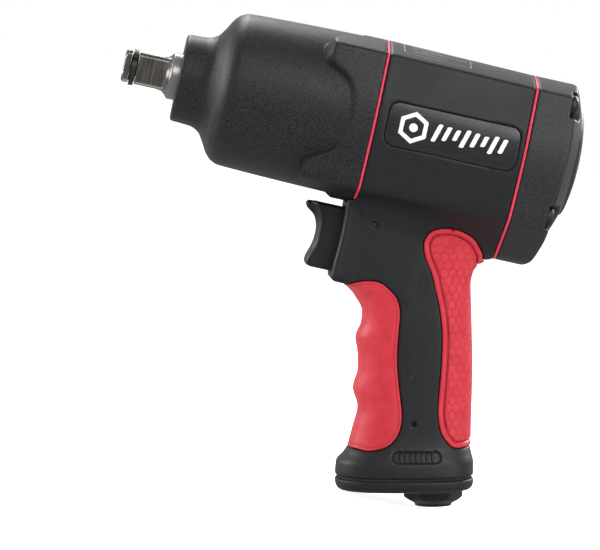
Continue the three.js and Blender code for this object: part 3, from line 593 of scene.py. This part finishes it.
def trigger(x, y, z):
    """The stem, with a finger pad on its front that stands a little proud of it on both sides."""
    side = outline_distance(TRIGGER_OUTLINE, x[:, 0, :] + 0 * z[0], z[:, 0, :] + 0 * x[:, 0])[:, None, :]
    dish = 0.9 * np.exp(-(((z + 48) / 9) ** 2)) * np.exp(-((y / 4.5) ** 2))
    stem = soft_max(side, np.abs(y) - TRIGGER_HALF_WIDTH + 0.7, 1.5)
    wide = np.abs(y) - TRIGGER_HALF_WIDTH - 0.4
    slant = (np.minimum(PAD_REAR(z) - x, 3.3) + 0.9 * wide) / 1.345  # the pad narrows to its front
    pad = soft_max(both(side + dish, wide, k=1), slant, 1.6)
    pad = soft_max(pad, x - PAD_REAR(z), 0.6)
    body = soft_min(both(stem, PAD_REAR(z) - 1 - x), pad, 0.4)
    slot = both(between(x, 102.3, 110.3), between(z, -40.9, -37.9))
    socket = both(cylinder(y, z - TRIGGER_Z, 2.2), 104 - x)
    return without(body, slot, socket)


# ---------- base ----------
BASE_SCREWS = ((91.6, 0), (119, 14.8))


def exhaust_deflector(x, y, z):
    u, w = to_handle(x, z)
    body = soft_max(handle(u, y, w), BASE_W - w, 3.4)
    body = soft_max(body, w - DEFLECTOR_W, 0.5)
    vents = [rounded_box(u - 102.75, y - i * 6, 6.25, 1.6, 0.8) for i in (0, 1)]
    screws = [
        np.minimum(cylinder(u - a, y - b, 1.9), both(cylinder(u - a, y - b, 3.1), w + 165.2))
        for a, b in BASE_SCREWS
    ]
    return without(body, cylinder(u - SUPPLY_U, y, 9.4), *vents, *screws)


BUSHING_R = profile([(-177, 7.2), (-173, 7.4), (-172.7, 7.9), (-170.6, 11.4), (-170.2, 11.8), (-167, 11.8)])


def inlet_bushing(x, y, z):
    u, w = to_handle(x, z)
    u = u - SUPPLY_U
    r = np.hypot(u, y)
    collar = both(turned(w, r, BUSHING_R), between(w, INLET_W, BASE_W - 0.2), k=0.5)
    collar = both(collar, np.where(w < -168.2, hexagon(y, u) - 10.25, r - 11.7), k=0.4)
    shank = both(r - 9, between(w, -168, -143.1), k=0.4)
    groove = both(7.9 - r, between(w, -151.2, -149))
    return without(np.minimum(collar, shank), r - 5.7, groove)


# ---------- anvil ----------
COLLAR_R = profile([
    (10, 1), (13, 4.5), (15.2, 6.4), (16.4, 6.8), (17.6, 7.7), (18.5, 8.7), (19.1, SHAFT_R), (60, SHAFT_R),
])


def anvil(x, y, z):
    r = np.hypot(y, z)
    flats = both(np.abs(y) - SQUARE / 2, np.abs(z) - SQUARE / 2, k=0.25)
    corner = (np.abs(y) + np.abs(z)) / math.sqrt(2) - 8.1
    square = soft_max(both(flats, corner, r - 7 - np.maximum(x, 0), x - 20, k=0.25), -x, 1.2)
    groove = both(5.1 - r, between(x, 2.9, 5.3))
    shaft = both(turned(x, r, COLLAR_R), between(x, 12, 83), k=0.4)
    shaft = np.where(x > 51.6, np.maximum(r - 8.5, x - 83), shaft)
    flange = both(r - 11.6, between(x, 41.6, 45), k=0.4)
    lugs = [
        both(np.abs(y) - 3.5, r - 12.1, -side * z, between(x, x0, x0 + 14), k=0.4)
        for x0, side in ((52.5, 1), (68.5, -1))
    ]
    solid = soft_min(without(square, groove, k=0.25), shaft, 0.7)
    return np.minimum(np.minimum(solid, flange), np.minimum(*lugs))


# ---------- materials ----------
def node_material(name, base, roughness, metallic=0.0):
    material = bpy.data.materials.new(name)
    material.use_nodes = True
    nodes, links = material.node_tree.nodes, material.node_tree.links
    shader = nodes["Principled BSDF"]
    shader.inputs["Base Color"].default_value = (*base, 1)
    shader.inputs["Roughness"].default_value = roughness
    shader.inputs["Metallic"].default_value = metallic
    return material, nodes, links, shader


def noise(nodes, links, scale, detail=3, stretch=None):
    """A noise texture in the row frame, as scale cells a metre, optionally stretched along an axis."""
    place = nodes.new("ShaderNodeTexCoord")
    texture = nodes.new("ShaderNodeTexNoise")
    texture.inputs["Scale"].default_value = scale
    texture.inputs["Detail"].default_value = detail
    source = place.outputs["Object"]
    if stretch:
        mapping = nodes.new("ShaderNodeMapping")
        mapping.inputs["Scale"].default_value = stretch
        links.new(source, mapping.inputs["Vector"])
        source = mapping.outputs["Vector"]
    links.new(source, texture.inputs["Vector"])
    return texture.outputs["Fac"]


def ramp(nodes, links, source, low, high, start=0.0, end=1.0):
    """Maps a value from start..end to a colour or grey from low to high."""
    node = nodes.new("ShaderNodeValToRGB")
    node.color_ramp.elements[0].position = start
    node.color_ramp.elements[1].position = end
    for element, value in zip(node.color_ramp.elements, (low, high)):
        element.color = (*value, 1) if isinstance(value, tuple) else (value, value, value, 1)
    links.new(source, node.inputs["Fac"])
    return node.outputs["Color"]


def bump(nodes, links, height, distance, strength=1.0, under=None):
    node = nodes.new("ShaderNodeBump")
    node.inputs["Distance"].default_value = distance
    node.inputs["Strength"].default_value = strength
    links.new(height, node.inputs["Height"])
    if under:
        links.new(under, node.inputs["Normal"])
    return node.outputs["Normal"]


def edge_highlight_and_wear(nodes, links, surface, bright, start, end):
    """Lightens a colour along the piece's convex edges: a painted highlight, together with some rubbed wear.
    """
    shape = nodes.new("ShaderNodeNewGeometry")
    mix = nodes.new("ShaderNodeMixRGB")
    mix.inputs["Color2"].default_value = (*bright, 1)
    links.new(surface, mix.inputs["Color1"])
    links.new(ramp(nodes, links, shape.outputs["Pointiness"], 0.0, 1.0, start, end), mix.inputs["Fac"])
    return mix.outputs["Color"]


def moulded(name, dark, light, roughness, grain=2600, depth=0.00006, edge_highlight_and_wear_gain=0.6):
    """Moulded plastic or painted metal with a fine spark-eroded grain."""
    material, nodes, links, shader = node_material(name, dark, roughness[0])
    fine = noise(nodes, links, grain, 2)
    broad = noise(nodes, links, 60, 4)
    surface = ramp(nodes, links, fine, dark, light, 0.38, 0.68)
    # convex edges lightened: a painted highlight, together with some rubbed wear
    if edge_highlight_and_wear_gain:
        bright = tuple(min(v * (1 + edge_highlight_and_wear_gain), 1) for v in light)
        surface = edge_highlight_and_wear(nodes, links, surface, bright, 0.55, 0.66)
    links.new(surface, shader.inputs["Base Color"])
    links.new(ramp(nodes, links, broad, roughness[0], roughness[1], 0.3, 0.7), shader.inputs["Roughness"])
    links.new(bump(nodes, links, fine, depth, 0.8), shader.inputs["Normal"])
    shader.inputs["Specular IOR Level"].default_value = 0.3
    return material


def brushed(name, dark, light, roughness, stretch, grain=1500, depth=0.00003, metallic=1.0, edge_highlight_and_wear_gain=0.0):
    """Metal with fine scratches along the axis whose stretch is small, and convex edges lightened as a
    painted highlight, together with some rubbed wear.
    """
    material, nodes, links, shader = node_material(name, dark, roughness[0], metallic)
    scratch = noise(nodes, links, grain, 5, stretch)
    cloud = noise(nodes, links, 120, 3)
    surface = ramp(nodes, links, scratch, dark, light, 0.3, 0.7)
    # convex edges lightened: a painted highlight, together with some rubbed wear
    bright = tuple(min(v * (1 + edge_highlight_and_wear_gain), 0.9) for v in light)
    links.new(edge_highlight_and_wear(nodes, links, surface, bright, 0.51, 0.57), shader.inputs["Base Color"])
    links.new(ramp(nodes, links, cloud, roughness[0], roughness[1], 0.3, 0.7), shader.inputs["Roughness"])
    links.new(bump(nodes, links, scratch, depth, 0.7), shader.inputs["Normal"])
    return material


def with_painted_collar_reflection(material):
    """Lightens the steel behind the square: a painted reflection on the collar."""
    nodes, links = material.node_tree.nodes, material.node_tree.links
    shader = nodes["Principled BSDF"]
    place = nodes.new("ShaderNodeTexCoord")
    split = nodes.new("ShaderNodeSeparateXYZ")
    links.new(place.outputs["Object"], split.inputs["Vector"])
    mix = nodes.new("ShaderNodeMixRGB")
    mix.inputs["Color2"].default_value = (0.37, 0.36, 0.355, 1)
    links.new(shader.inputs["Base Color"].links[0].from_socket, mix.inputs["Color1"])
    links.new(ramp(nodes, links, split.outputs["X"], 0.0, 0.85, *COLLAR_PAINTED_REFLECTION), mix.inputs["Fac"])
    links.new(mix.outputs["Color"], shader.inputs["Base Color"])
    return material


def sums(nodes, links):
    """A function that adds maths nodes: kind, then one or two numbers or sockets."""
    def value(kind, *inputs):
        node = nodes.new("ShaderNodeMath")
        node.operation = kind
        for i, item in enumerate(inputs):
            if isinstance(item, (int, float)):
                node.inputs[i].default_value = item
            else:
                links.new(item, node.inputs[i])
        return node.outputs[0]

    return value


COLLAR_PAINTED_REFLECTION = (0.0155, 0.0175)  # where the collar's painted reflection fades in, in metres back from the drive's end face
HONEYCOMB = 0.0036  # across the flats of one cell, in metres


def honeycomb(nodes, links):
    """How near a point is to the wall of its hexagon, from 0 at the middle to 0.5 at the wall."""
    value = sums(nodes, links)
    place = nodes.new("ShaderNodeTexCoord")
    split = nodes.new("ShaderNodeSeparateXYZ")
    links.new(place.outputs["Object"], split.inputs["Vector"])
    x, y, z = split.outputs
    c, s = math.cos(RAKE) / HONEYCOMB, math.sin(RAKE) / HONEYCOMB
    back = value("ADD", value("MULTIPLY", x, c), value("MULTIPLY", z, s))
    along = value("SUBTRACT", back, value("MULTIPLY", value("ABSOLUTE", y), 0.4 / HONEYCOMB))
    up = value("SUBTRACT", value("MULTIPLY", z, c), value("MULTIPLY", x, s))
    tall = math.sqrt(3)

    def cell(shift):
        a = value("SUBTRACT", value("FLOORED_MODULO", value("ADD", along, 0.5 * shift), 1.0), 0.5)
        b = value("FLOORED_MODULO", value("ADD", up, tall / 2 * shift), tall)
        b = value("SUBTRACT", b, tall / 2)
        a, b = value("ABSOLUTE", a), value("ABSOLUTE", b)
        slant = value("ADD", value("MULTIPLY", a, 0.5), value("MULTIPLY", b, tall / 2))
        return value("MAXIMUM", a, slant)

    return value("MINIMUM", cell(0), cell(1))


def grip_rubber(name, celled):
    """Red rubber with painted shade in the groove round its pad, and a fine honeycomb on the rear pad whose
    sunken walls also get painted shade.
    """
    material, nodes, links, shader = node_material(name, (0.5, 0.02, 0.034), 0.5)
    value = sums(nodes, links)
    cloud = noise(nodes, links, 220, 4)
    mottle = ramp(nodes, links, cloud, (0.46, 0.017, 0.03), (0.53, 0.028, 0.043), 0.3, 0.7)
    groove = nodes.new("ShaderNodeAttribute")
    groove.attribute_name = "groove"
    # painted shade, strongest at the groove round the pad; shade below holds its colour
    near = ramp(nodes, links, groove.outputs["Fac"], 1.0, 0.0, 0.05, 0.42)
    shade = nodes.new("ShaderNodeMixRGB")
    shade.inputs["Color2"].default_value = (0.2, 0.006, 0.014, 1)
    links.new(mottle, shade.inputs["Color1"])
    height = noise(nodes, links, 1800, 2)
    if celled:
        pad = nodes.new("ShaderNodeAttribute")
        pad.attribute_name = "pad"
        wall = ramp(nodes, links, honeycomb(nodes, links), 0.0, 1.0, 0.44, 0.49)
        wall = value("MULTIPLY", wall, ramp(nodes, links, pad.outputs["Fac"], 0.0, 1.0, 0.3, 0.7))
        # painted shade in the honeycomb's sunken walls
        near = value("MAXIMUM", near, value("MULTIPLY", wall, 0.35))
        height = value("SUBTRACT", value("MULTIPLY", height, 0.12), wall)
        links.new(bump(nodes, links, height, 0.00015, 0.9), shader.inputs["Normal"])
    else:
        # fainter painted shade in the front grip's groove
        near = value("MULTIPLY", near, 0.45)
        links.new(bump(nodes, links, height, 0.00003, 0.8), shader.inputs["Normal"])
    links.new(near, shade.inputs["Fac"])
    links.new(shade.outputs["Color"], shader.inputs["Base Color"])
    broad = noise(nodes, links, 90, 3)
    links.new(ramp(nodes, links, broad, 0.44, 0.58, 0.3, 0.7), shader.inputs["Roughness"])
    shader.inputs["Specular IOR Level"].default_value = 0.3
    return material


def mark_pad(piece, outline, rim):
    """Writes each point's distance to the groove, and whether it is on the pad inside it."""
    points = np.empty(len(piece.data.vertices) * 3)
    piece.data.vertices.foreach_get("co", points)
    x, _, z = points.reshape(-1, 3).T / MM
    inward = -edge_distance(outline, x, z) - rim
    for name, amount in (("groove", np.abs(inward)), ("pad", inward)):
        layer = piece.data.attributes.new(name, "FLOAT", "POINT")
        layer.data.foreach_set("value", amount.astype(np.float32))


STEEL = ((0.07, 0.064, 0.058), (0.21, 0.195, 0.175), (0.22, 0.36), (1, 1, 0.06))
# Each slot's finish: its kind, then its dark and light colours, its roughness and its grain.
MATERIALS = {
    slot: kind(slot, *look)
    for slot, kind, *look in (
        ("case_black", moulded, (0.0035, 0.004, 0.005), (0.026, 0.027, 0.031), (0.42, 0.52),
         2300, 0.00012, 0),
        ("composite_black", moulded, (0.007, 0.0076, 0.0088), (0.0155, 0.0163, 0.0185), (0.44, 0.54)),
        ("grip_red", moulded, (0.5, 0.02, 0.034), (0.58, 0.032, 0.048), (0.5, 0.6), 1800, 0.00003),
        ("gasket_red", moulded, (0.55, 0.03, 0.065), (0.62, 0.045, 0.085), (0.35, 0.45), 1500, 0.00002),
        ("seal_black", moulded, (0.01, 0.01, 0.01), (0.02, 0.02, 0.02), (0.45, 0.6), 1500, 0.00003),
        ("drive_steel", brushed, *STEEL, 1500, 0.00003, 1.0, 2.2),
        ("hardened_steel", brushed, (0.09, 0.09, 0.1), (0.2, 0.2, 0.21), (0.34, 0.5), (1, 0.3, 0.3)),
        ("black_steel", brushed, (0.012, 0.012, 0.014), (0.03, 0.03, 0.033), (0.35, 0.5), (1, 1, 1),
         900, 0.00002, 0.6),
        ("aluminium", brushed, (0.5, 0.51, 0.53), (0.7, 0.71, 0.73), (0.25, 0.4), (1, 0.15, 0.15)),
        ("bronze", brushed, (0.42, 0.26, 0.1), (0.6, 0.4, 0.18), (0.3, 0.45), (0.3, 1, 1)),
        ("vane_phenolic", moulded, (0.16, 0.06, 0.02), (0.26, 0.11, 0.04), (0.5, 0.65), 1200, 0.00005),
        ("muffler_felt", moulded, (0.22, 0.23, 0.21), (0.34, 0.35, 0.33), (0.85, 0.95), 3000, 0.0003),
        ("name_plate", brushed, (0.01, 0.011, 0.013), (0.022, 0.023, 0.026), (0.16, 0.3), (0.05, 1, 1),
         1600, 0.00001, 0.3),
    )
}
# Finishes of single pieces that vary their slot's.
SPECIAL = {
    # the anvil: a painted reflection on its collar, and painted highlight with some wear on its edges
    "anvil": with_painted_collar_reflection(brushed("anvil_steel", *STEEL, edge_highlight_and_wear_gain=2.2)),
    # the rear cover: a lighter copy of the housing's black, as painted light on the cover
    "rear_cover": moulded(
        "cover_black_painted_light", (0.0095, 0.01, 0.0115), (0.032, 0.033, 0.037), (0.42, 0.5), 2400, 0.00009
    ),
    "front_grip": grip_rubber("grip_front", False),
    "rear_grip": grip_rubber("grip_rear", True),
}
PRINT_GREY = moulded("print_grey", (0.2, 0.2, 0.2), (0.3, 0.3, 0.3), (0.4, 0.5), 1800, 0.00001)
PRINT_WHITE = moulded("print_white", (0.75, 0.75, 0.75), (0.86, 0.86, 0.86), (0.4, 0.5), 1800, 0.00001)


def finish(piece, slot, body, *nodes, material=None):
    """Gives a piece its finish and body, and hides the CAD nodes that it stands for."""
    piece.data.materials.append(material or MATERIALS[slot])
    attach(piece, body)
    if nodes:
        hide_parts(*nodes)
    return piece


# ---------- pieces ----------
def box_of(node, room):
    """A node's box at rest, in millimetres, with room all round it."""
    low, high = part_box(node)
    return [v / MM - room for v in low], [v / MM + room for v in high]


def build_shells():
    for node, step, field, slot, body in (
        ("hammer_case", 0.47, hammer_case, "case_black", "housing"),
        ("motor_housing", 0.62, motor_housing, "composite_black", "housing"),
        ("front_grip", 0.42, grip_field(FRONT_GRIP, FRONT_RIM, 0.35), "grip_red", "housing"),
        ("rear_grip", 0.42, grip_field(REAR_GRIP, REAR_RIM, 0.9), "grip_red", "housing"),
        ("rear_cover", 0.5, rear_cover, "composite_black", "housing"),
        ("front_gasket", 0.3, gasket(*FRONT_SEAM), "gasket_red", "housing"),
        ("rear_gasket", 0.3, gasket(*REAR_SEAM), "gasket_red", "housing"),
        ("exhaust_deflector", 0.5, exhaust_deflector, "composite_black", "housing"),
        ("inlet_bushing", 0.35, inlet_bushing, "black_steel", "housing"),
        ("trigger", 0.4, trigger, "composite_black", "trigger"),
        ("anvil", 0.24, anvil, "drive_steel", "anvil"),
    ):
        low, high = box_of(node, 1.5)
        piece = half_shell(f"{node}_skin", low, high, step, field)
        finish(piece, slot, body, node, material=SPECIAL.get(node))
    mark_pad(bpy.data.objects["front_grip_skin"], FRONT_GRIP, FRONT_RIM)
    mark_pad(bpy.data.objects["rear_grip_skin"], REAR_GRIP, REAR_RIM)
    reach = 4.8  # a little more than a bolt head's radius
    for i, (y, z) in enumerate([(-1, 1), (1, 1), (-1, -1), (1, -1)]):
        y, z = y * BOLT_OFFSET, z * BOLT_OFFSET
        low, high = (80, y - reach, z - reach), (BOLT_HEAD_X + 3.6, y + reach, z + reach)
        bolt = side_shell(f"through_bolt_{i + 1}_skin", low, high, 0.28, through_bolt(y, z), 1)
        finish(bolt, "black_steel", "housing", f"through_bolt_{i + 1}")


MARK_X = -15.5  # the printed mark's hexagon, from the plate's middle


def name_plate(x, y, z):
    skin = section(x, y, z) + 0.14
    return both(skin, -(skin + 0.7), plate_rect(x, z), k=0.2)


def printed_mark(x, y, z):
    """A plain hexagon with a drop in it, and a row of slanted bars: it stands for no maker."""
    skin = section(x, y, z) + 0.08
    a, b = x - PLATE_X - MARK_X, z - PLATE_Z
    ring = np.abs(hexagon(a, b) - 4.6) - 0.85
    nut = cylinder(a, b, 1.7)
    lean = a - 0.3 * b - 9.3
    bars = [
        rounded_box(lean - 3.7 * i, b - 0.3 * (i % 3), 0.95, 3.6 - 0.7 * (i % 3), 0.6)
        for i in range(8)
    ]
    return both(skin, -(skin + 0.6), np.minimum.reduce([ring, nut, *bars]), k=0.08)


LABEL_X = (105.2, 131.6)
LABEL_HALF = 22.3


def top_label(x, y, z):
    """A thin printed frame with rows of dashes, on the top of the barrel."""
    skin = section(x, y, z) - 0.05
    middle, half = (LABEL_X[0] + LABEL_X[1]) / 2, (LABEL_X[1] - LABEL_X[0]) / 2
    frame_line = np.abs(rounded_box(x - middle, y, half, LABEL_HALF, 1)) - 0.2
    lines = [
        rounded_box(x - middle + shift, np.abs(y) - row, long, 0.32, 0.3)
        for shift, row, long in ((3, 18.6, 7), (6, 16.2, 4), (-3, 13.8, 8.5), (4, 11.4, 6), (0, 7.6, 10))
    ]
    shape = np.minimum.reduce([frame_line + 0 * z, *[line + 0 * z for line in lines]])
    return both(skin, -(skin + 0.5), shape, k=0.06)


def badge_ribs(x, y, z):
    """A floor for the oval recess over the base, with plain upright ribs on it."""
    u, w = to_handle(x, z)
    body = whole_body(x, y, z)
    rib = np.abs((u - BADGE[0] + 1.05) % 2.1 - 1.05) - 0.42
    ribs = both(rib, np.abs(w - BADGE[1]) - 1.5, np.abs(u - BADGE[0]) - 6.6, body + 0.45, k=0.15)
    floor = both(body + BADGE_DEEP - 0.2, badge_oval(u, w, -0.1), k=0.1)
    return both(np.minimum(ribs, floor), -(body + BADGE_DEEP + 0.6), k=0.1)


def build_prints():
    low = (PLATE_X - 27, 28, PLATE_Z - 9.8)
    high = (PLATE_X + 27, 35, PLATE_Z + 9.8)
    for side, word in ((-1, "left"), (1, "right")):
        plate = side_shell(f"name_plate_{word}_skin", low, high, 0.3, name_plate, side)
        finish(plate, "name_plate", "housing", f"name_plate_{word}")
        printed = side_shell(f"plate_mark_{word}", low, high, 0.17, printed_mark, side)
        finish(printed, "name_plate", "housing", material=PRINT_WHITE)
    label = half_shell("top_label", (LABEL_X[0] - 1, 0, 27), (LABEL_X[1] + 1, 23, 32.5), 0.17, top_label)
    finish(label, "composite_black", "housing", material=PRINT_GREY)
    corners = [(BADGE[0] + du, BADGE[1] + dw) for du in (-10, 10) for dw in (-3, 3)]
    xs = [u * math.cos(RAKE) - w * math.sin(RAKE) for u, w in corners]
    zs = [u * math.sin(RAKE) + w * math.cos(RAKE) for u, w in corners]
    badge = side_shell("badge_ribs", (min(xs), 14, min(zs)), (max(xs), 22, max(zs)), 0.2, badge_ribs, -1)
    finish(badge, "composite_black", "housing")


def dress_frame():
    """Finishes on the CAD nodes that stay in view: soft edges, smooth curves and a real material."""
    for entry in frame["record"]["subparts"]:
        piece = frame["nodes"][entry["node"]]
        piece.data.materials.clear()
        dark = entry["node"] in ("trigger_pin", "retaining_ring")  # the ring is blackened, and the pin is painted dark as painted shade in its hole: both darker than their slot
        slot = "black_steel" if dark else entry["material_slot"]
        piece.data.materials.append(MATERIALS[slot])
        piece.data.shade_smooth()
        piece.data.set_sharp_from_angle(angle=math.radians(32))
        bevel = piece.modifiers.new("soft_edges", "BEVEL")
        bevel.width = 0.15 * MM
        bevel.segments = 2
        bevel.limit_method = "ANGLE"
        bevel.angle_limit = math.radians(32)


# ---------- stage ----------
def build_stage():
    bpy.ops.mesh.primitive_plane_add(size=60, location=(0.08, 0, CAD_BOX[0][2] - 0.0005))
    floor = bpy.context.object
    floor.name = "floor"
    material, nodes, links, shader = node_material("floor_pale", (0.9, 0.9, 0.9), 0.8)
    shader.inputs["Specular IOR Level"].default_value = 0.1
    links.new(ramp(nodes, links, noise(nodes, links, 3, 2), 0.89, 0.93), shader.inputs["Base Color"])
    glow = nodes.new("ShaderNodeLightPath")  # a light table: it glows for the camera alone
    links.new(glow.outputs["Is Camera Ray"], shader.inputs["Emission Strength"])
    shader.inputs["Emission Color"].default_value = (0.88, 0.88, 0.88, 1)
    floor.data.materials.append(material)
    floor.visible_glossy = False  # so that the tool's underside stays dark, as in a tent


TENT_LIGHT = 0.47
# Square soft lamps: name, place in metres, size of a side and power.
LAMPS = (
    ("back_top", (-0.2, 0.9, 0.9), 0.5, 9.5),
    ("front_top", (0.25, -1.3, 0.8), 0.7, 6.2),
    ("right", (1.1, -0.7, 0.2), 0.5, 2.8),
    ("back_right", (0.8, 0.8, 0.6), 0.5, 12),
    ("left", (-1.2, 0.0, 0.1), 0.45, 4),
    ("back_left", (-1.1, 0.45, 0.15), 0.45, 8.2),
    ("right_top", (0.7, -0.9, 0.8), 0.45, 7),
)


def build_light():
    """An even tent, white where the camera sees it, and soft lamps round the tool."""
    world = bpy.data.worlds.new("studio")
    bpy.context.scene.world = world
    world.use_nodes = True
    nodes, links = world.node_tree.nodes, world.node_tree.links
    tent = nodes["Background"]
    tent.inputs["Color"].default_value = (1, 1, 1, 1)
    tent.inputs["Strength"].default_value = TENT_LIGHT
    white = nodes.new("ShaderNodeBackground")
    white.inputs["Color"].default_value = (1, 1, 1, 1)
    seen = nodes.new("ShaderNodeLightPath")
    mix = nodes.new("ShaderNodeMixShader")
    links.new(seen.outputs["Is Camera Ray"], mix.inputs["Fac"])
    links.new(tent.outputs["Background"], mix.inputs[1])
    links.new(white.outputs["Background"], mix.inputs[2])
    links.new(mix.outputs["Shader"], nodes["World Output"].inputs["Surface"])

    centre = Vector((0.085, 0, -0.06))
    for name, place, size, power in LAMPS:
        light = bpy.data.lights.new(name, "AREA")
        light.energy = power
        light.size = size
        lamp = bpy.data.objects.new(name, light)
        lamp.location = place
        lamp.rotation_euler = (centre - Vector(place)).to_track_quat("-Z", "Y").to_euler()
        bpy.context.scene.collection.objects.link(lamp)


def build_camera():
    """A long lens that looks across the tool, rolled so that the handle stands upright."""
    camera = bpy.data.cameras.new("camera")
    seen_wide = 0.2362  # width of the view at the tool's mid plane, in metres
    eye = Vector((0.005, -1.4, 0.005))
    aim = Vector((0.0854, 0, -0.0656))
    camera.sensor_width = 36
    camera.lens = 36 * (aim - eye).length / seen_wide
    camera.clip_start = 0.01
    rig = bpy.data.objects.new("camera", camera)
    forward = (aim - eye).normalized()
    up = Vector((math.sin(-RAKE), 0, math.cos(RAKE)))
    right = forward.cross(up).normalized()
    up = right.cross(forward)
    rig.matrix_world = Matrix.Translation(eye) @ Matrix((right, up, -forward)).transposed().to_4x4()
    bpy.context.scene.collection.objects.link(rig)
    bpy.context.scene.camera = rig


bpy.context.scene.view_settings.view_transform = "Standard"
build_camera()
build_stage()
build_light()
dress_frame()
build_shells()
build_prints()

bpy.context.view_layer.update()
